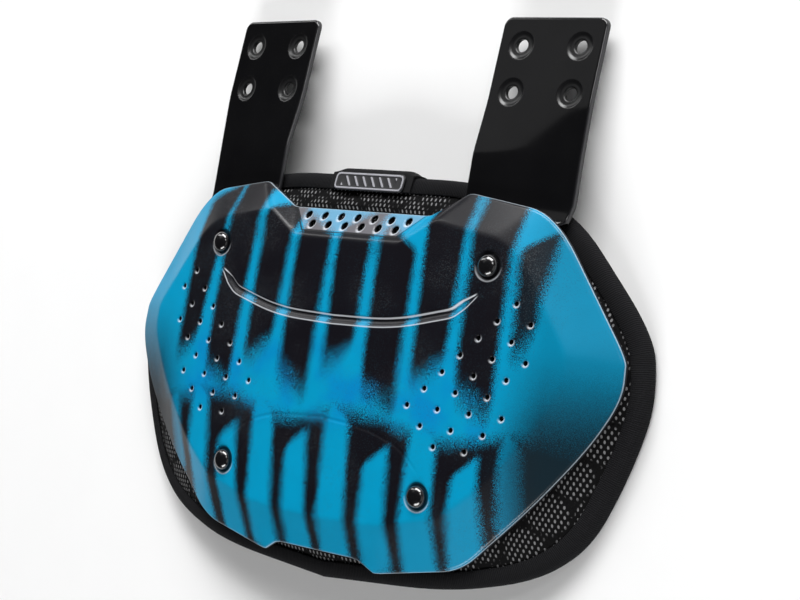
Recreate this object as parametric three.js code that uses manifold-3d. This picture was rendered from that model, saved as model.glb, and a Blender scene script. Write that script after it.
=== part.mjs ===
// A football back plate: a moulded shell on a padded backing, hung from two bolt-on straps.
// Millimetres. It lies on its padded side with the shell up: X runs across, Y up the straps, Z up.
// Pieces are worked out about the upper rivets' line (Y = 0) and the crown of the shell (Z = 0),
// then the whole is set on Z = 0 with its box centred on X = Y = 0.
import * as THREE from 'three';
import { mergeVertices } from 'three/addons/utils/BufferGeometryUtils.js';
import Module from 'manifold-3d';

const wasm = await Module();
wasm.setup();

// Driving dimensions
const clearance = 0.3;

const shellHalfWidth = 174;
const shellLength = 204;
const shellAboveRivets = 37.2;
const shellThickness = 2.8;
const wingDrop = 25.6;
const faceDropAcross = 14.914;
const faceRadiusAcross = shellHalfWidth ** 2 / (2 * faceDropAcross);
const faceRadiusAlong = 1680;
const faceCrownY = -53;
const faceCentreY = -64.8;

const perforationPitch = 9.67;
const perforationDiameter = 2.9;
const perforationTopY = -17.6;
const ventDiameter = 4.6;
const ventPitch = 12.1;
const ventRowYs = [19.6, 14.5];

const stepWidth = 5.4;
const stepDepth = 1.5;
const arcWidth = 3;
const arcDepth = 0.7;
const lineTip = 0.1;
const lineFade = 0.25;
const lineBottom = 0.2;
const lineSink = 0.05;

const upperRivetInset = 77.3;
const lowerRivetInset = 102.9;
const upperRivetX = shellHalfWidth - upperRivetInset;
const lowerRivetX = shellHalfWidth - lowerRivetInset;
const lowerRivetAboveEnd = 45.1;
const lowerRivetY = shellAboveRivets - shellLength + lowerRivetAboveEnd;
const rivetHeadDiameter = 11.8;
const rivetHeadHeight = 4.6;
const rivetHeadRim = 0.8;
const rivetShankDiameter = 4.6;
const rivetTailDiameter = 14;
const rivetTailThickness = 1.4;
const seatDiameter = 15.6;
const seatDepth = 0.8;

const padBesideShell = 9.5;
const padAboveShell = 7.3;
const padBelowShell = 8.7;
const padHalfWidth = shellHalfWidth + padBesideShell;
const padTopY = shellAboveRivets + padAboveShell;
const padLength = padAboveShell + shellLength + padBelowShell;
const padDrop = 39.6;
const padThickness = 14;
const padTaper = 16;
const padBowExponent = 3;
const padShoulderInset = 1 / 3;
const padShoulderHalf = 1 / 1.8;

const bindingWidth = 9;
const bindingHeight = 8.8;
const bindingWall = 1.3;

const labelHalfWidth = 29;
const labelRise = 3.6;
const labelWall = 1.2;
const patchLength = 50;
const patchWidth = 10.5;
const patchThickness = 1;
const patchCorner = 3;

const strapOutsideRivet = 2.1;
const strapCentreX = upperRivetX + strapOutsideRivet;
const strapWidth = 63.5;
const strapThickness = 2.9;
const strapTopY = 133.5;
const strapBottomY = -16;
const strapCorner = 5;
const boltSpacingAcross = 36;
const boltSpacingAlong = 25.4;
const boltHoleDiameter = 7;
const boltsBelowTop = 15.5;

// Shell table, right half from the top centre to the bottom centre, a row for each corner.
// crease and rim: X as a share of shellHalfWidth, Y as a share of shellLength from its lower end.
// rimDrop: depth under the crown as a share of wingDrop. round: how far the corner is rounded.
const shellRows = [
  { name: 'panel centre', creaseX: 0, creaseY: 0.853, rimX: 0, rimY: 0.934, rimDrop: 0.45, round: 0 },
  { name: 'panel corner', creaseX: 0.213, creaseY: 0.853, rimX: 0.282, rimY: 0.934, rimDrop: 0.45, round: 0.06 },
  { name: 'horn inner', creaseX: 0.337, creaseY: 0.92, rimX: 0.422, rimY: 1, rimDrop: 0.49, round: 0.08 },
  { name: 'horn outer', creaseX: 0.628, creaseY: 0.88, rimX: 0.717, rimY: 0.965, rimDrop: 0.69, round: 0.3 },
  { name: 'wing upper', creaseX: 0.844, creaseY: 0.628, rimX: 0.994, rimY: 0.628, rimDrop: 1, round: 0.16 },
  { name: 'wing lower', creaseX: 0.853, creaseY: 0.552, rimX: 1, rimY: 0.533, rimDrop: 0.974, round: 0.45 },
  { name: 'flank', creaseX: 0.756, creaseY: 0.412, rimX: 0.92, rimY: 0.406, rimDrop: 0.875, round: 0.45 },
  { name: 'flank lower', creaseX: 0.606, creaseY: 0.259, rimX: 0.761, rimY: 0.239, rimDrop: 0.747, round: 0.4 },
  { name: 'lobe', creaseX: 0.483, creaseY: 0.178, rimX: 0.539, rimY: 0.052, rimDrop: 0.709, round: 0.22 },
  { name: 'arch outer', creaseX: 0.278, creaseY: 0.133, rimX: 0.233, rimY: 0, rimDrop: 0.55, round: 0.1 },
  { name: 'arch inner', creaseX: 0.2, creaseY: 0.126, rimX: 0.169, rimY: 0.03, rimDrop: 0.434, round: 0.2 },
  { name: 'arch centre', creaseX: 0, creaseY: 0.121, rimX: 0, rimY: 0.03, rimDrop: 0.423, round: 0 },
];

// Pad table, the outer edge of the binding, right half from the top centre to the bottom centre.
// edgeX: share of padHalfWidth. edgeY: share of padLength from the lower end. edgeDrop: share of padDrop.
const padRows = [
  { name: 'top centre', edgeX: 0, edgeY: 1, edgeDrop: 0.575, round: 0 },
  { name: 'top', edgeX: 0.345, edgeY: 1, edgeDrop: 0.625, round: 0.3 },
  { name: 'shoulder', edgeX: 0.68, edgeY: 0.957, edgeDrop: 0.81, round: 0.35 },
  { name: 'side upper', edgeX: 0.972, edgeY: 0.68, edgeDrop: 1, round: 0.35 },
  { name: 'side', edgeX: 1, edgeY: 0.525, edgeDrop: 1, round: 0.45 },
  { name: 'side lower', edgeX: 0.948, edgeY: 0.367, edgeDrop: 1, round: 0.45 },
  { name: 'corner', edgeX: 0.855, edgeY: 0.19, edgeDrop: 1, round: 0.45 },
  { name: 'lower', edgeX: 0.705, edgeY: 0.09, edgeDrop: 0.87, round: 0.45 },
  { name: 'lower inner', edgeX: 0.44, edgeY: 0.029, edgeDrop: 0.65, round: 0.4 },
  { name: 'bottom centre', edgeX: 0, edgeY: 0, edgeDrop: 0.6, round: 0 },
];

// Perforation rows, from the top down: lattice columns out from the middle of the plate.
const perforationColumns = [
  [12], [11, 13], [10, 12], [9, 11, 13], [8, 10, 12], [7, 9, 11], [6, 8, 10, 12], [7, 9, 11], [8, 10],
];

// Stepped crease and lower arc, right half from the middle out, X and Y in shares of the shell's sizes.
const stepRows = [
  { x: 0, y: 0.64, round: 0 },
  { x: 0.24, y: 0.645, round: 0.45 },
  { x: 0.45, y: 0.69, round: 0.3 },
  { x: 0.545, y: 0.752, round: 0 },
];
const arcRows = [
  { x: 0, y: 0.381, round: 0 },
  { x: 0.2, y: 0.37, round: 0.45 },
  { x: 0.325, y: 0.335, round: 0.3 },
  { x: 0.4, y: 0.28, round: 0 },
];

// Strap stations up its length: y as a share from strapBottomY to strapTopY, drop as a share of
// wingDrop under the crown, yaw in degrees, outer half of the width as a share of half strapWidth
// (the hidden end is narrow under the rim). The last two rows hold the flat bolted end.
const strapRows = [
  { y: 0, drop: 0.345, yaw: 5.4, outer: 0.35 },
  { y: 0.16, drop: 0.37, yaw: 5.6, outer: 0.35 },
  { y: 0.215, drop: 0.47, yaw: 6.5, outer: 0.3 },
  { y: 0.28, drop: 0.705, yaw: 9, outer: 0.95 },
  { y: 0.34, drop: 0.79, yaw: 8.8, outer: 1 },
  { y: 0.5, drop: 0.84, yaw: 8.5, outer: 1 },
  { y: 0.69, drop: 1.005, yaw: 4, outer: 1 },
  { y: 1, drop: 1.265, yaw: 4, outer: 1 },
];

// Steps in the meshes
const cornerSteps = 3;
const longestSide = 40;
const faceRings = [0.35, 0.62, 0.82];
const padRings = [0.4, 0.75];
const strapColumns = 3;
const roundSides = 12;
const holeSides = 8;
const perforationSides = 6;

// Solids and booleans
function solidOf(geometry) {
  const bare = geometry.clone();
  bare.deleteAttribute('normal');
  bare.deleteAttribute('uv');
  const merged = mergeVertices(bare, 1e-4);
  const mesh = new wasm.Mesh({
    numProp: 3,
    vertProperties: new Float32Array(merged.attributes.position.array),
    triVerts: new Uint32Array(merged.index.array),
  });
  return new wasm.Manifold(mesh);
}

function geometryOf(solid) {
  const mesh = solid.getMesh();
  const geometry = new THREE.BufferGeometry();
  geometry.setAttribute('position', new THREE.BufferAttribute(mesh.vertProperties, 3));
  geometry.setIndex(new THREE.BufferAttribute(mesh.triVerts, 1));
  geometry.computeVertexNormals();
  return geometry;
}

function cutFrom(geometry, tools) {
  let solid = solidOf(geometry);
  for (const tool of tools) {
    solid = solid.subtract(solidOf(tool));
  }
  return geometryOf(solid);
}

function closedGeometry(points, triangles) {
  const geometry = new THREE.BufferGeometry();
  const flat = points.flatMap((p) => [p.x, p.y, p.z]);
  geometry.setAttribute('position', new THREE.Float32BufferAttribute(flat, 3));
  geometry.setIndex(triangles.flat());
  return geometry;
}

// Triangles that fill a flat loop of points, turning the way the loop turns
function fillLoop(loop, turned) {
  const normal = new THREE.Vector3();
  loop.forEach((p, i) => normal.add(p.clone().cross(loop[(i + 1) % loop.length])));
  const turn = new THREE.Quaternion().setFromUnitVectors(normal.normalize(), new THREE.Vector3(0, 0, 1));
  const flat = loop.map((p) => p.clone().applyQuaternion(turn)).map((p) => new THREE.Vector2(p.x, p.y));
  return THREE.ShapeUtils.triangulateShape(flat, []).map(([a, b, c]) => {
    const area = flat[b].clone().sub(flat[a]).cross(flat[c].clone().sub(flat[a]));
    return (area > 0) === turned ? [a, c, b] : [a, b, c];
  });
}

// The same for a loop of two equal lines, out and back, joined point to point
function fillPaired(loop, turned) {
  return loop.slice(1, loop.length / 2).flatMap((_, i) => {
    const j = loop.length - 1 - i;
    const faces = [[i, i + 1, j - 1], [i, j - 1, j]];
    return turned ? faces.map((face) => face.reverse()) : faces;
  });
}

// A closed body from a chain of equal loops: neighbours are joined. An open chain's ends are
// fans about the two tips, where tips are given, or else flat.
function loftLoops(loops, { closed = false, tips = null, fill = fillLoop } = {}) {
  const count = loops[0].length;
  const points = loops.flat();
  const triangles = [];
  const spans = closed ? loops.length : loops.length - 1;
  for (let k = 0; k < spans; k += 1) {
    const here = k * count;
    const next = ((k + 1) % loops.length) * count;
    for (let i = 0; i < count; i += 1) {
      const j = (i + 1) % count;
      triangles.push([here + i, next + i, next + j], [here + i, next + j, here + j]);
    }
  }
  if (!closed) {
    for (const [end, k] of [0, loops.length - 1].entries()) {
      const turned = end === 1;
      const first = k * count;
      if (tips) {
        points.push(tips[end]);
        for (let i = 0; i < count; i += 1) {
          const pair = [first + i, first + ((i + 1) % count)];
          triangles.push([points.length - 1, ...(turned ? pair.reverse() : pair)]);
        }
      } else {
        fill(loops[k], turned).forEach((face) => triangles.push(face.map((i) => first + i)));
      }
    }
  }
  return closedGeometry(points, triangles);
}

// Tables to rounded lines: every numeric column is rounded and sampled together.
function blend(a, b, t) {
  const mixed = {};
  for (const key of Object.keys(a)) {
    if (typeof a[key] === 'number') {
      mixed[key] = a[key] + (b[key] - a[key]) * t;
    }
  }
  return mixed;
}

function roundedLine(rows, closed, lengthOf) {
  const line = [];
  const count = rows.length;
  rows.forEach((row, i) => {
    const before = rows[(i + count - 1) % count];
    const after = rows[(i + 1) % count];
    if (row.round === 0 || (!closed && (i === 0 || i === count - 1))) {
      line.push(blend(row, row, 0));
      return;
    }
    const start = blend(row, before, row.round);
    const end = blend(row, after, row.round);
    for (let k = 0; k <= cornerSteps; k += 1) {
      const t = k / cornerSteps;
      line.push(blend(blend(start, row, t), blend(row, end, t), t));
    }
  });
  const fine = [];
  const spans = closed ? line.length : line.length - 1;
  for (let i = 0; i < spans; i += 1) {
    const next = line[(i + 1) % line.length];
    const pieces = Math.max(1, Math.ceil(lengthOf(line[i], next) / longestSide));
    for (let k = 0; k < pieces; k += 1) {
      fine.push(blend(line[i], next, k / pieces));
    }
  }
  if (!closed) {
    fine.push(line[line.length - 1]);
  }
  return fine;
}

function mirroredRows(rows, columns) {
  const left = rows.slice(1, -1).reverse().map((row) => {
    const turned = { ...row };
    columns.forEach((column) => {
      turned[column] = -row[column];
    });
    return turned;
  });
  return [...rows, ...left];
}

// The shell's outer surface
function faceDrop(x, y) {
  const across = x * x / (2 * faceRadiusAcross);
  const along = (y - faceCrownY) ** 2 / (2 * faceRadiusAlong);
  return across + along;
}

function faceNormal(x, y) {
  return new THREE.Vector3(x / faceRadiusAcross, (y - faceCrownY) / faceRadiusAlong, 1).normalize();
}

function shellY(share) {
  return shellAboveRivets - (1 - share) * shellLength;
}

const shellLine = roundedLine(mirroredRows(shellRows, ['creaseX', 'rimX']), true, (a, b) => Math.hypot(
  (a.rimX - b.rimX) * shellHalfWidth,
  (a.rimY - b.rimY) * shellLength,
)).map((row) => {
  const crease = new THREE.Vector3(row.creaseX * shellHalfWidth, shellY(row.creaseY), 0);
  crease.z = -faceDrop(crease.x, crease.y);
  const rim = new THREE.Vector3(row.rimX * shellHalfWidth, shellY(row.rimY), -row.rimDrop * wingDrop);
  return { crease, rim };
});

function shellLoop(share, below, grow = 0) {
  return shellLine.map(({ crease, rim }) => {
    const point = new THREE.Vector3();
    if (share <= 1) {
      point.set(crease.x * share, faceCentreY + (crease.y - faceCentreY) * share, 0);
      point.z = -faceDrop(point.x, point.y) - below;
      return point;
    }
    const outward = rim.clone().sub(crease).setZ(0).normalize();
    point.copy(rim).addScaledVector(outward, grow);
    point.z -= below;
    return point;
  }).reverse();
}

// The shell as a body from above its outer surface to below it, wider by grow all round.
function shellBody(above, below, grow = 0) {
  const shares = [...faceRings, 1, 2];
  const outer = shares.map((share) => shellLoop(share, -above, grow));
  const inner = shares.map((share) => shellLoop(share, below, grow)).reverse();
  const tips = [above, -below].map((lift) => {
    const tip = new THREE.Vector3(0, faceCentreY, 0);
    return tip.setZ(lift - faceDrop(tip.x, tip.y));
  });
  return loftLoops([...outer, ...inner], { tips });
}

function drill(x, y, z, direction, diameter, reach, sides) {
  const tool = new THREE.CylinderGeometry(diameter / 2, diameter / 2, 2 * reach, sides);
  tool.applyQuaternion(new THREE.Quaternion().setFromUnitVectors(new THREE.Vector3(0, 1, 0), direction));
  return tool.translate(x, y, z);
}

const up = new THREE.Vector3(0, 0, 1);

function ventHoles() {
  const tools = [];
  ventRowYs.forEach((y, row) => {
    const count = 7 - row;
    for (let i = 0; i < count; i += 1) {
      const x = (i - (count - 1) / 2) * ventPitch;
      tools.push(drill(x, y, -wingDrop / 2, up, ventDiameter, wingDrop, holeSides));
    }
  });
  return tools;
}

function perforations() {
  const tools = [];
  perforationColumns.forEach((columns, row) => {
    const y = perforationTopY - row * perforationPitch;
    columns.forEach((column) => {
      for (const side of [-1, 1]) {
        const x = side * column * perforationPitch;
        const z = -faceDrop(x, y);
        tools.push(drill(x, y, z, up, perforationDiameter, 4 * shellThickness, perforationSides));
      }
    });
  });
  return tools;
}

// A pressed line across the face: one steep side and one gentle side, dying out at both ends from
// lineTip of its size over lineFade of its length. lineBottom is a share of its width.
function pressedLine(rows, width, depth) {
  const half = roundedLine(rows, false, (a, b) => Math.hypot(
    (a.x - b.x) * shellHalfWidth,
    (a.y - b.y) * shellLength,
  ));
  const right = half.map((row) => new THREE.Vector3(row.x * shellHalfWidth, shellY(row.y), 0));
  const left = right.slice(1).reverse().map((p) => new THREE.Vector3(-p.x, p.y, 0));
  const path = [...left, ...right];
  const last = path.length - 1;
  return loftLoops(path.map((p, i) => {
    const along = path[Math.min(i + 1, last)].clone().sub(path[Math.max(i - 1, 0)]).normalize();
    const side = new THREE.Vector3(-along.y, along.x, 0);
    const fade = Math.min(1, lineTip + Math.min(i, last - i) / (last * lineFade));
    const section = [
      [-0.5, 1], [0.5, 1], [0.5, -lineSink], [lineBottom, -depth * fade], [-0.5, -lineSink],
    ];
    return section.map(([across, lift]) => {
      const point = p.clone().addScaledVector(side, across * width * fade);
      point.z = -faceDrop(point.x, point.y) + lift;
      return point;
    });
  }));
}

// Rivets stand square to the face, their heads seated in a dished recess.
const rivetPlaces = [
  { name: 'rivet_upper_left', x: -upperRivetX, y: 0 },
  { name: 'rivet_upper_right', x: upperRivetX, y: 0 },
  { name: 'rivet_lower_left', x: -lowerRivetX, y: lowerRivetY },
  { name: 'rivet_lower_right', x: lowerRivetX, y: lowerRivetY },
].map((place) => ({
  ...place,
  axis: faceNormal(place.x, place.y),
  foot: new THREE.Vector3(place.x, place.y, -faceDrop(place.x, place.y)),
}));

function seatTool(foot, axis) {
  const tool = new THREE.CylinderGeometry(seatDiameter / 2, rivetHeadDiameter / 2, 2 * seatDepth, roundSides);
  tool.applyQuaternion(new THREE.Quaternion().setFromUnitVectors(new THREE.Vector3(0, 1, 0), axis));
  return tool.translate(foot.x, foot.y, foot.z);
}

function rivetHoles(reach, diameter = rivetShankDiameter + 2 * clearance) {
  return rivetPlaces.map(({ foot, axis }) => drill(foot.x, foot.y, foot.z, axis, diameter, reach, holeSides));
}

function shellGeometry() {
  const tools = [
    ...rivetPlaces.map(({ foot, axis }) => seatTool(foot, axis)),
    ...rivetHoles(wingDrop),
    ...ventHoles(),
    ...perforations(),
    pressedLine(stepRows, stepWidth, stepDepth),
    pressedLine(arcRows, arcWidth, arcDepth),
  ];
  return cutFrom(shellBody(0, shellThickness), tools);
}

// Straps: a flat strip bent and twisted along its stations. The left one mirrors the right one.
function mirrored(geometry) {
  const copy = geometry.clone().scale(-1, 1, 1);
  copy.setIndex([...copy.index.array].reverse());
  return copy;
}

function strapAt(share) {
  const next = Math.max(1, strapRows.findIndex((row) => row.y >= share));
  const a = strapRows[next - 1];
  const b = strapRows[next];
  return blend(a, b, (share - a.y) / (b.y - a.y));
}

function strapPoint(y, across, below) {
  const station = strapAt((y - strapBottomY) / (strapTopY - strapBottomY));
  const yaw = THREE.MathUtils.degToRad(station.yaw);
  const z = -station.drop * wingDrop - across * Math.sin(yaw) - below;
  return new THREE.Vector3(strapCentreX + across * Math.cos(yaw), y, z);
}

function strapBody(above, below, grow = 0) {
  const half = strapWidth / 2;
  const ends = strapRows.slice(0, -1).map((row) => ({
    y: strapBottomY + row.y * (strapTopY - strapBottomY),
    inner: half,
    outer: half * row.outer,
  }));
  ends[0].y -= grow;
  for (let k = 0; k <= cornerSteps; k += 1) {
    const turn = (k / cornerSteps) * Math.PI / 2;
    const reach = half - strapCorner * (1 - Math.cos(turn));
    ends.push({ y: strapTopY - strapCorner * (1 - Math.sin(turn)), inner: reach, outer: reach });
  }
  return loftLoops(ends.map(({ y, inner, outer }) => {
    const line = (depth) => Array.from({ length: strapColumns + 1 }, (_, k) => {
      const across = -inner - grow + (inner + outer + 2 * grow) * k / strapColumns;
      return strapPoint(Math.max(y, strapBottomY), across, depth).setY(y);
    });
    return [...line(below), ...line(-above).reverse()];
  }), { fill: fillPaired });
}

const boltCentres = [0, 1].flatMap((row) => [-0.5, 0.5].map((column) => (
  strapPoint(strapTopY - boltsBelowTop - row * boltSpacingAlong, column * boltSpacingAcross, 0)
)));

const strapEndNormal = boltCentres[1].clone().sub(boltCentres[0])
  .cross(boltCentres[0].clone().sub(boltCentres[2])).normalize();

function strapGeometry() {
  const bolts = boltCentres.flatMap((p) => [
    seatTool(p, strapEndNormal),
    drill(p.x, p.y, p.z, strapEndNormal, boltHoleDiameter, 4 * strapThickness, roundSides),
  ]);
  return cutFrom(strapBody(0, strapThickness), [...bolts, ...rivetHoles(wingDrop)]);
}

// The pad's edge line, and its bowl from the middle to that edge
const padBottomY = padTopY - padLength;

const padLine = roundedLine(mirroredRows(padRows, ['edgeX']), true, (a, b) => Math.hypot(
  (a.edgeX - b.edgeX) * padHalfWidth,
  (a.edgeY - b.edgeY) * padLength,
)).map((row) => {
  const edge = new THREE.Vector3(row.edgeX * padHalfWidth, padBottomY + row.edgeY * padLength, 0);
  edge.z = -row.edgeDrop * padDrop;
  return edge;
});

const padNormals = padLine.map((edge, i) => {
  const count = padLine.length;
  const along = padLine[(i + 1) % count].clone().sub(padLine[(i + count - 1) % count]);
  return new THREE.Vector3(-along.y, along.x, 0).normalize();
});

const underShell = shellThickness + strapThickness + 2 * clearance;

// Height of the pad's middle surface at a point on the way from its centre to one point of its edge.
function padMiddleZ(point, edge) {
  const centre = new THREE.Vector3(0, faceCentreY, 0);
  const share = centre.distanceTo(point.clone().setZ(0)) / centre.distanceTo(edge.clone().setZ(0));
  const bow = share ** padBowExponent;
  const rest = (x, y) => -faceDrop(x, y) - underShell - padThickness / 2;
  return rest(point.x, point.y) + (edge.z - rest(edge.x, edge.y)) * bow;
}

// A point of the pad: inset from its edge line along the normal, then drawn in to the centre by share.
function padPoint(i, inset, share, lift) {
  const point = padLine[i].clone().addScaledVector(padNormals[i], -inset);
  point.x *= share;
  point.y = faceCentreY + (point.y - faceCentreY) * share;
  point.z = padMiddleZ(point, padLine[i]) + lift;
  return point;
}

function padLoop(inset, share, lift) {
  return padLine.map((edge, i) => padPoint(i, inset, share, lift)).reverse();
}

// The foam, full in the middle and thinned over padTaper to the hem that the binding holds
function padBody() {
  const hem = bindingHeight / 2 - bindingWall - clearance;
  const full = padThickness / 2;
  const steps = [
    ...padRings.map((share) => ({ inset: bindingWidth + padTaper, share, half: full })),
    { inset: bindingWidth + padTaper, share: 1, half: full },
    { inset: bindingWidth + padTaper * padShoulderInset, share: 1, half: (full + hem) * padShoulderHalf },
    { inset: bindingWidth + clearance, share: 1, half: hem },
    { inset: bindingWall + clearance, share: 1, half: hem },
  ];
  const front = steps.map(({ inset, share, half }) => padLoop(inset, share, half));
  const back = steps.map(({ inset, share, half }) => padLoop(inset, share, -half)).reverse();
  const tips = [full, -full].map((lift) => {
    const tip = new THREE.Vector3(0, faceCentreY, 0);
    return tip.setZ(padMiddleZ(tip, padLine[0]) + lift);
  });
  return loftLoops([...front, ...back], { tips });
}

function padGeometry() {
  const strapRoom = strapBody(wingDrop / 2, strapThickness + clearance, clearance);
  const tools = [
    shellBody(wingDrop, shellThickness + clearance, clearance),
    strapRoom,
    mirrored(strapRoom),
    ...rivetHoles(3 * wingDrop),
  ];
  return cutFrom(padBody(), tools);
}

// A strip folded over the pad's edge, as section points of inset and lift from the edge line.
function foldedSection(width, height, wall, crown) {
  const half = height / 2;
  const bevel = crown / 2;
  return [
    [width, half], [bevel, half], [-crown + wall, half - bevel], [-crown + wall, -half + bevel],
    [bevel, -half], [width, -half], [width, -half + wall], [wall, -half + wall],
    [wall, half - wall], [width, half - wall],
  ];
}

function bindingGeometry() {
  const section = foldedSection(bindingWidth, bindingHeight, bindingWall, bindingWall);
  const loops = padLine.map((edge, i) => section.map(([inset, lift]) => padPoint(i, inset, 1, lift)));
  return loftLoops(loops, { closed: true });
}

// The label tab is folded over the binding at the top centre, and the patch lies on its front.
function topEdgeAt(x) {
  const next = padLine.findIndex((edge, i) => edge.x >= x && i < padLine.length / 2);
  const a = padLine[next - 1] ?? padLine[0];
  const b = padLine[next];
  return a.clone().lerp(b, next === 0 ? 0 : (x - a.x) / (b.x - a.x));
}

function labelPoint(x, inset, lift) {
  const edge = topEdgeAt(Math.abs(x));
  const point = new THREE.Vector3(edge.x, edge.y - inset, 0);
  point.z = padMiddleZ(point, edge) + lift;
  point.x = x;
  return point;
}

const labelFrontLift = bindingHeight / 2 + clearance + labelWall;

function labelTabGeometry() {
  const right = padLine.filter((edge) => edge.x > 0 && edge.x < labelHalfWidth && edge.y > 0).map((p) => p.x);
  const xs = [...new Set([0, ...right, labelHalfWidth, ...right.map((x) => -x), -labelHalfWidth])];
  const inner = bindingHeight / 2 + clearance;
  const section = [
    [bindingWidth, labelFrontLift], [-labelRise / 2, labelFrontLift],
    [-labelRise, inner / 2], [-labelRise, -inner / 2],
    [-labelRise / 2, -labelFrontLift], [bindingWidth / 2, -labelFrontLift], [bindingWidth / 2, -inner],
    [-clearance, -inner], [-clearance, inner], [bindingWidth, inner],
  ];
  xs.sort((a, b) => a - b);
  return loftLoops(xs.map((x) => section.map(([inset, lift]) => labelPoint(x, inset, lift))));
}

function labelPatchGeometry() {
  const outline = new THREE.Shape();
  const halfLength = patchLength / 2;
  const halfWidth = patchWidth / 2;
  for (const [x, y, turn] of [[1, 1, 0], [-1, 1, 1], [-1, -1, 2], [1, -1, 3]]) {
    const start = turn * Math.PI / 2;
    outline.absarc(
      x * (halfLength - patchCorner), y * (halfWidth - patchCorner), patchCorner, start, start + Math.PI / 2,
    );
  }
  const geometry = new THREE.ExtrudeGeometry(outline, {
    depth: patchThickness, bevelEnabled: false, curveSegments: cornerSteps,
  });
  const upper = labelPoint(0, 0, labelFrontLift);
  const lower = labelPoint(0, bindingWidth, labelFrontLift);
  const slope = Math.atan2(upper.z - lower.z, upper.y - lower.y);
  geometry.rotateX(slope);
  const middle = upper.add(lower).multiplyScalar(0.5);
  return geometry.translate(0, middle.y, middle.z + clearance);
}

// Rivet: domed head, shank through the stack and a flat tail on the pad's back.
function rivetGeometry(stack) {
  const head = rivetHeadDiameter / 2;
  const shank = rivetShankDiameter / 2;
  const tail = rivetTailDiameter / 2;
  const base = -seatDepth + clearance;
  const dome = [];
  for (let k = 0; k <= cornerSteps; k += 1) {
    const turn = (k / cornerSteps) * Math.PI / 2;
    const height = rivetHeadRim + (rivetHeadHeight - rivetHeadRim) * Math.sin(turn);
    dome.push(new THREE.Vector2(head * Math.cos(turn), base + height));
  }
  dome[cornerSteps].x = 0;
  const profile = [
    new THREE.Vector2(0, -stack - rivetTailThickness),
    new THREE.Vector2(tail, -stack - rivetTailThickness),
    new THREE.Vector2(tail, -stack),
    new THREE.Vector2(shank, -stack),
    new THREE.Vector2(shank, base),
    new THREE.Vector2(head, base),
    ...dome,
  ];
  return new THREE.LatheGeometry(profile, roundSides).rotateX(Math.PI / 2);
}

// Depth of the pad's back under a rivet, along the rivet's axis
function padBackUnder(place, padMesh) {
  const ray = new THREE.Raycaster();
  const start = place.foot.clone().addScaledVector(place.axis, -3 * padDrop);
  const aside = new THREE.Vector3(1, 0, 0).multiplyScalar(rivetTailDiameter / 2);
  const depths = [-1, 1].map((side) => {
    ray.set(start.clone().addScaledVector(aside, side), place.axis);
    return 3 * padDrop - ray.intersectObject(padMesh)[0].distance;
  });
  return Math.max(...depths) + clearance;
}

// Materials and the assembly
function part(name, geometry, color, roughness, metalness = 0) {
  const mesh = new THREE.Mesh(geometry, new THREE.MeshStandardMaterial({ color, roughness, metalness }));
  mesh.name = name;
  return mesh;
}

const group = new THREE.Group();
const pad = part('pad', padGeometry(), 0x17171a, 0.9);
group.add(part('shell', shellGeometry(), 0x04a0cb, 0.25));
group.add(pad);
group.add(part('binding', bindingGeometry(), 0x1b1b1d, 0.85));
group.add(part('label_tab', labelTabGeometry(), 0x161618, 0.9));
group.add(part('label_patch', labelPatchGeometry(), 0x8c8c92, 0.6));
group.add(part('strap_left', mirrored(strapGeometry()), 0x101012, 0.2));
group.add(part('strap_right', strapGeometry(), 0x101012, 0.2));

pad.material.side = THREE.DoubleSide;
pad.updateMatrixWorld();
for (const place of rivetPlaces) {
  const rivet = part(place.name, rivetGeometry(padBackUnder(place, pad)), 0x08080a, 0.15);
  rivet.quaternion.setFromUnitVectors(up, place.axis);
  rivet.position.copy(place.foot);
  group.add(rivet);
}

const box = new THREE.Box3().setFromObject(group, true);
group.position.set(-(box.min.x + box.max.x) / 2, -(box.min.y + box.max.y) / 2, -box.min.z);

export default group;
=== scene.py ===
import math

import bmesh
import bpy
import numpy as np
from mathutils import Matrix, Vector
from mathutils.bvhtree import BVHTree
from mathutils.geometry import delaunay_2d_cdt
from mathutils.kdtree import KDTree


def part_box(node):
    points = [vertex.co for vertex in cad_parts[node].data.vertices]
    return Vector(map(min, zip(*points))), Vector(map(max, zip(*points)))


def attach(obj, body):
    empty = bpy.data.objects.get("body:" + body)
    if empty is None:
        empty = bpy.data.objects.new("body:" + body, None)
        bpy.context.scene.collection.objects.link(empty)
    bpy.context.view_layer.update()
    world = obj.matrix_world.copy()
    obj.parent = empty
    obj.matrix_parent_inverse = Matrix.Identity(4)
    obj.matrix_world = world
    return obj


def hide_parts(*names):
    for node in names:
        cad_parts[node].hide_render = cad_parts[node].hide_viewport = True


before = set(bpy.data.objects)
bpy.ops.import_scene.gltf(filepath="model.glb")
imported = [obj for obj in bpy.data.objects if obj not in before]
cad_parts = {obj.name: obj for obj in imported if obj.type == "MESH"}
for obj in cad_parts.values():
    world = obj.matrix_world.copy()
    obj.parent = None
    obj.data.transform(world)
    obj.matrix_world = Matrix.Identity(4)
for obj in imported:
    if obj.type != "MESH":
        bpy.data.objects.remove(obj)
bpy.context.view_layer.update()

bl_info = {
    "name": "Football back plate",
    "version": (1, 0, 0),
    "blender": (4, 5, 0),
    "location": "3D View > Sidebar > Back plate",
    "description": "Dresses the back plate: moulded shell, padded backing, edging, straps and rivets",
    "category": "Object",
}

# Shapes are worked out in millimetres about the upper rivets' line (Y = 0) and the crown of the
# shell (Z = 0), then moved to the frame's own origin.
MM = 0.001
UP = Vector((0, 0, 1))
# A height or depth beyond anything here, and the most that a mark is let to reach, in mm
FAR = 99.0
MARK_REACH = 9
# Spacing of the meshes' points inside their outlines, in mm
SHELL_SPACING, PAD_SPACING, STRAP_SPACING, PATCH_SPACING = 2.1, 3.0, 3.0, 0.6

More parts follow.
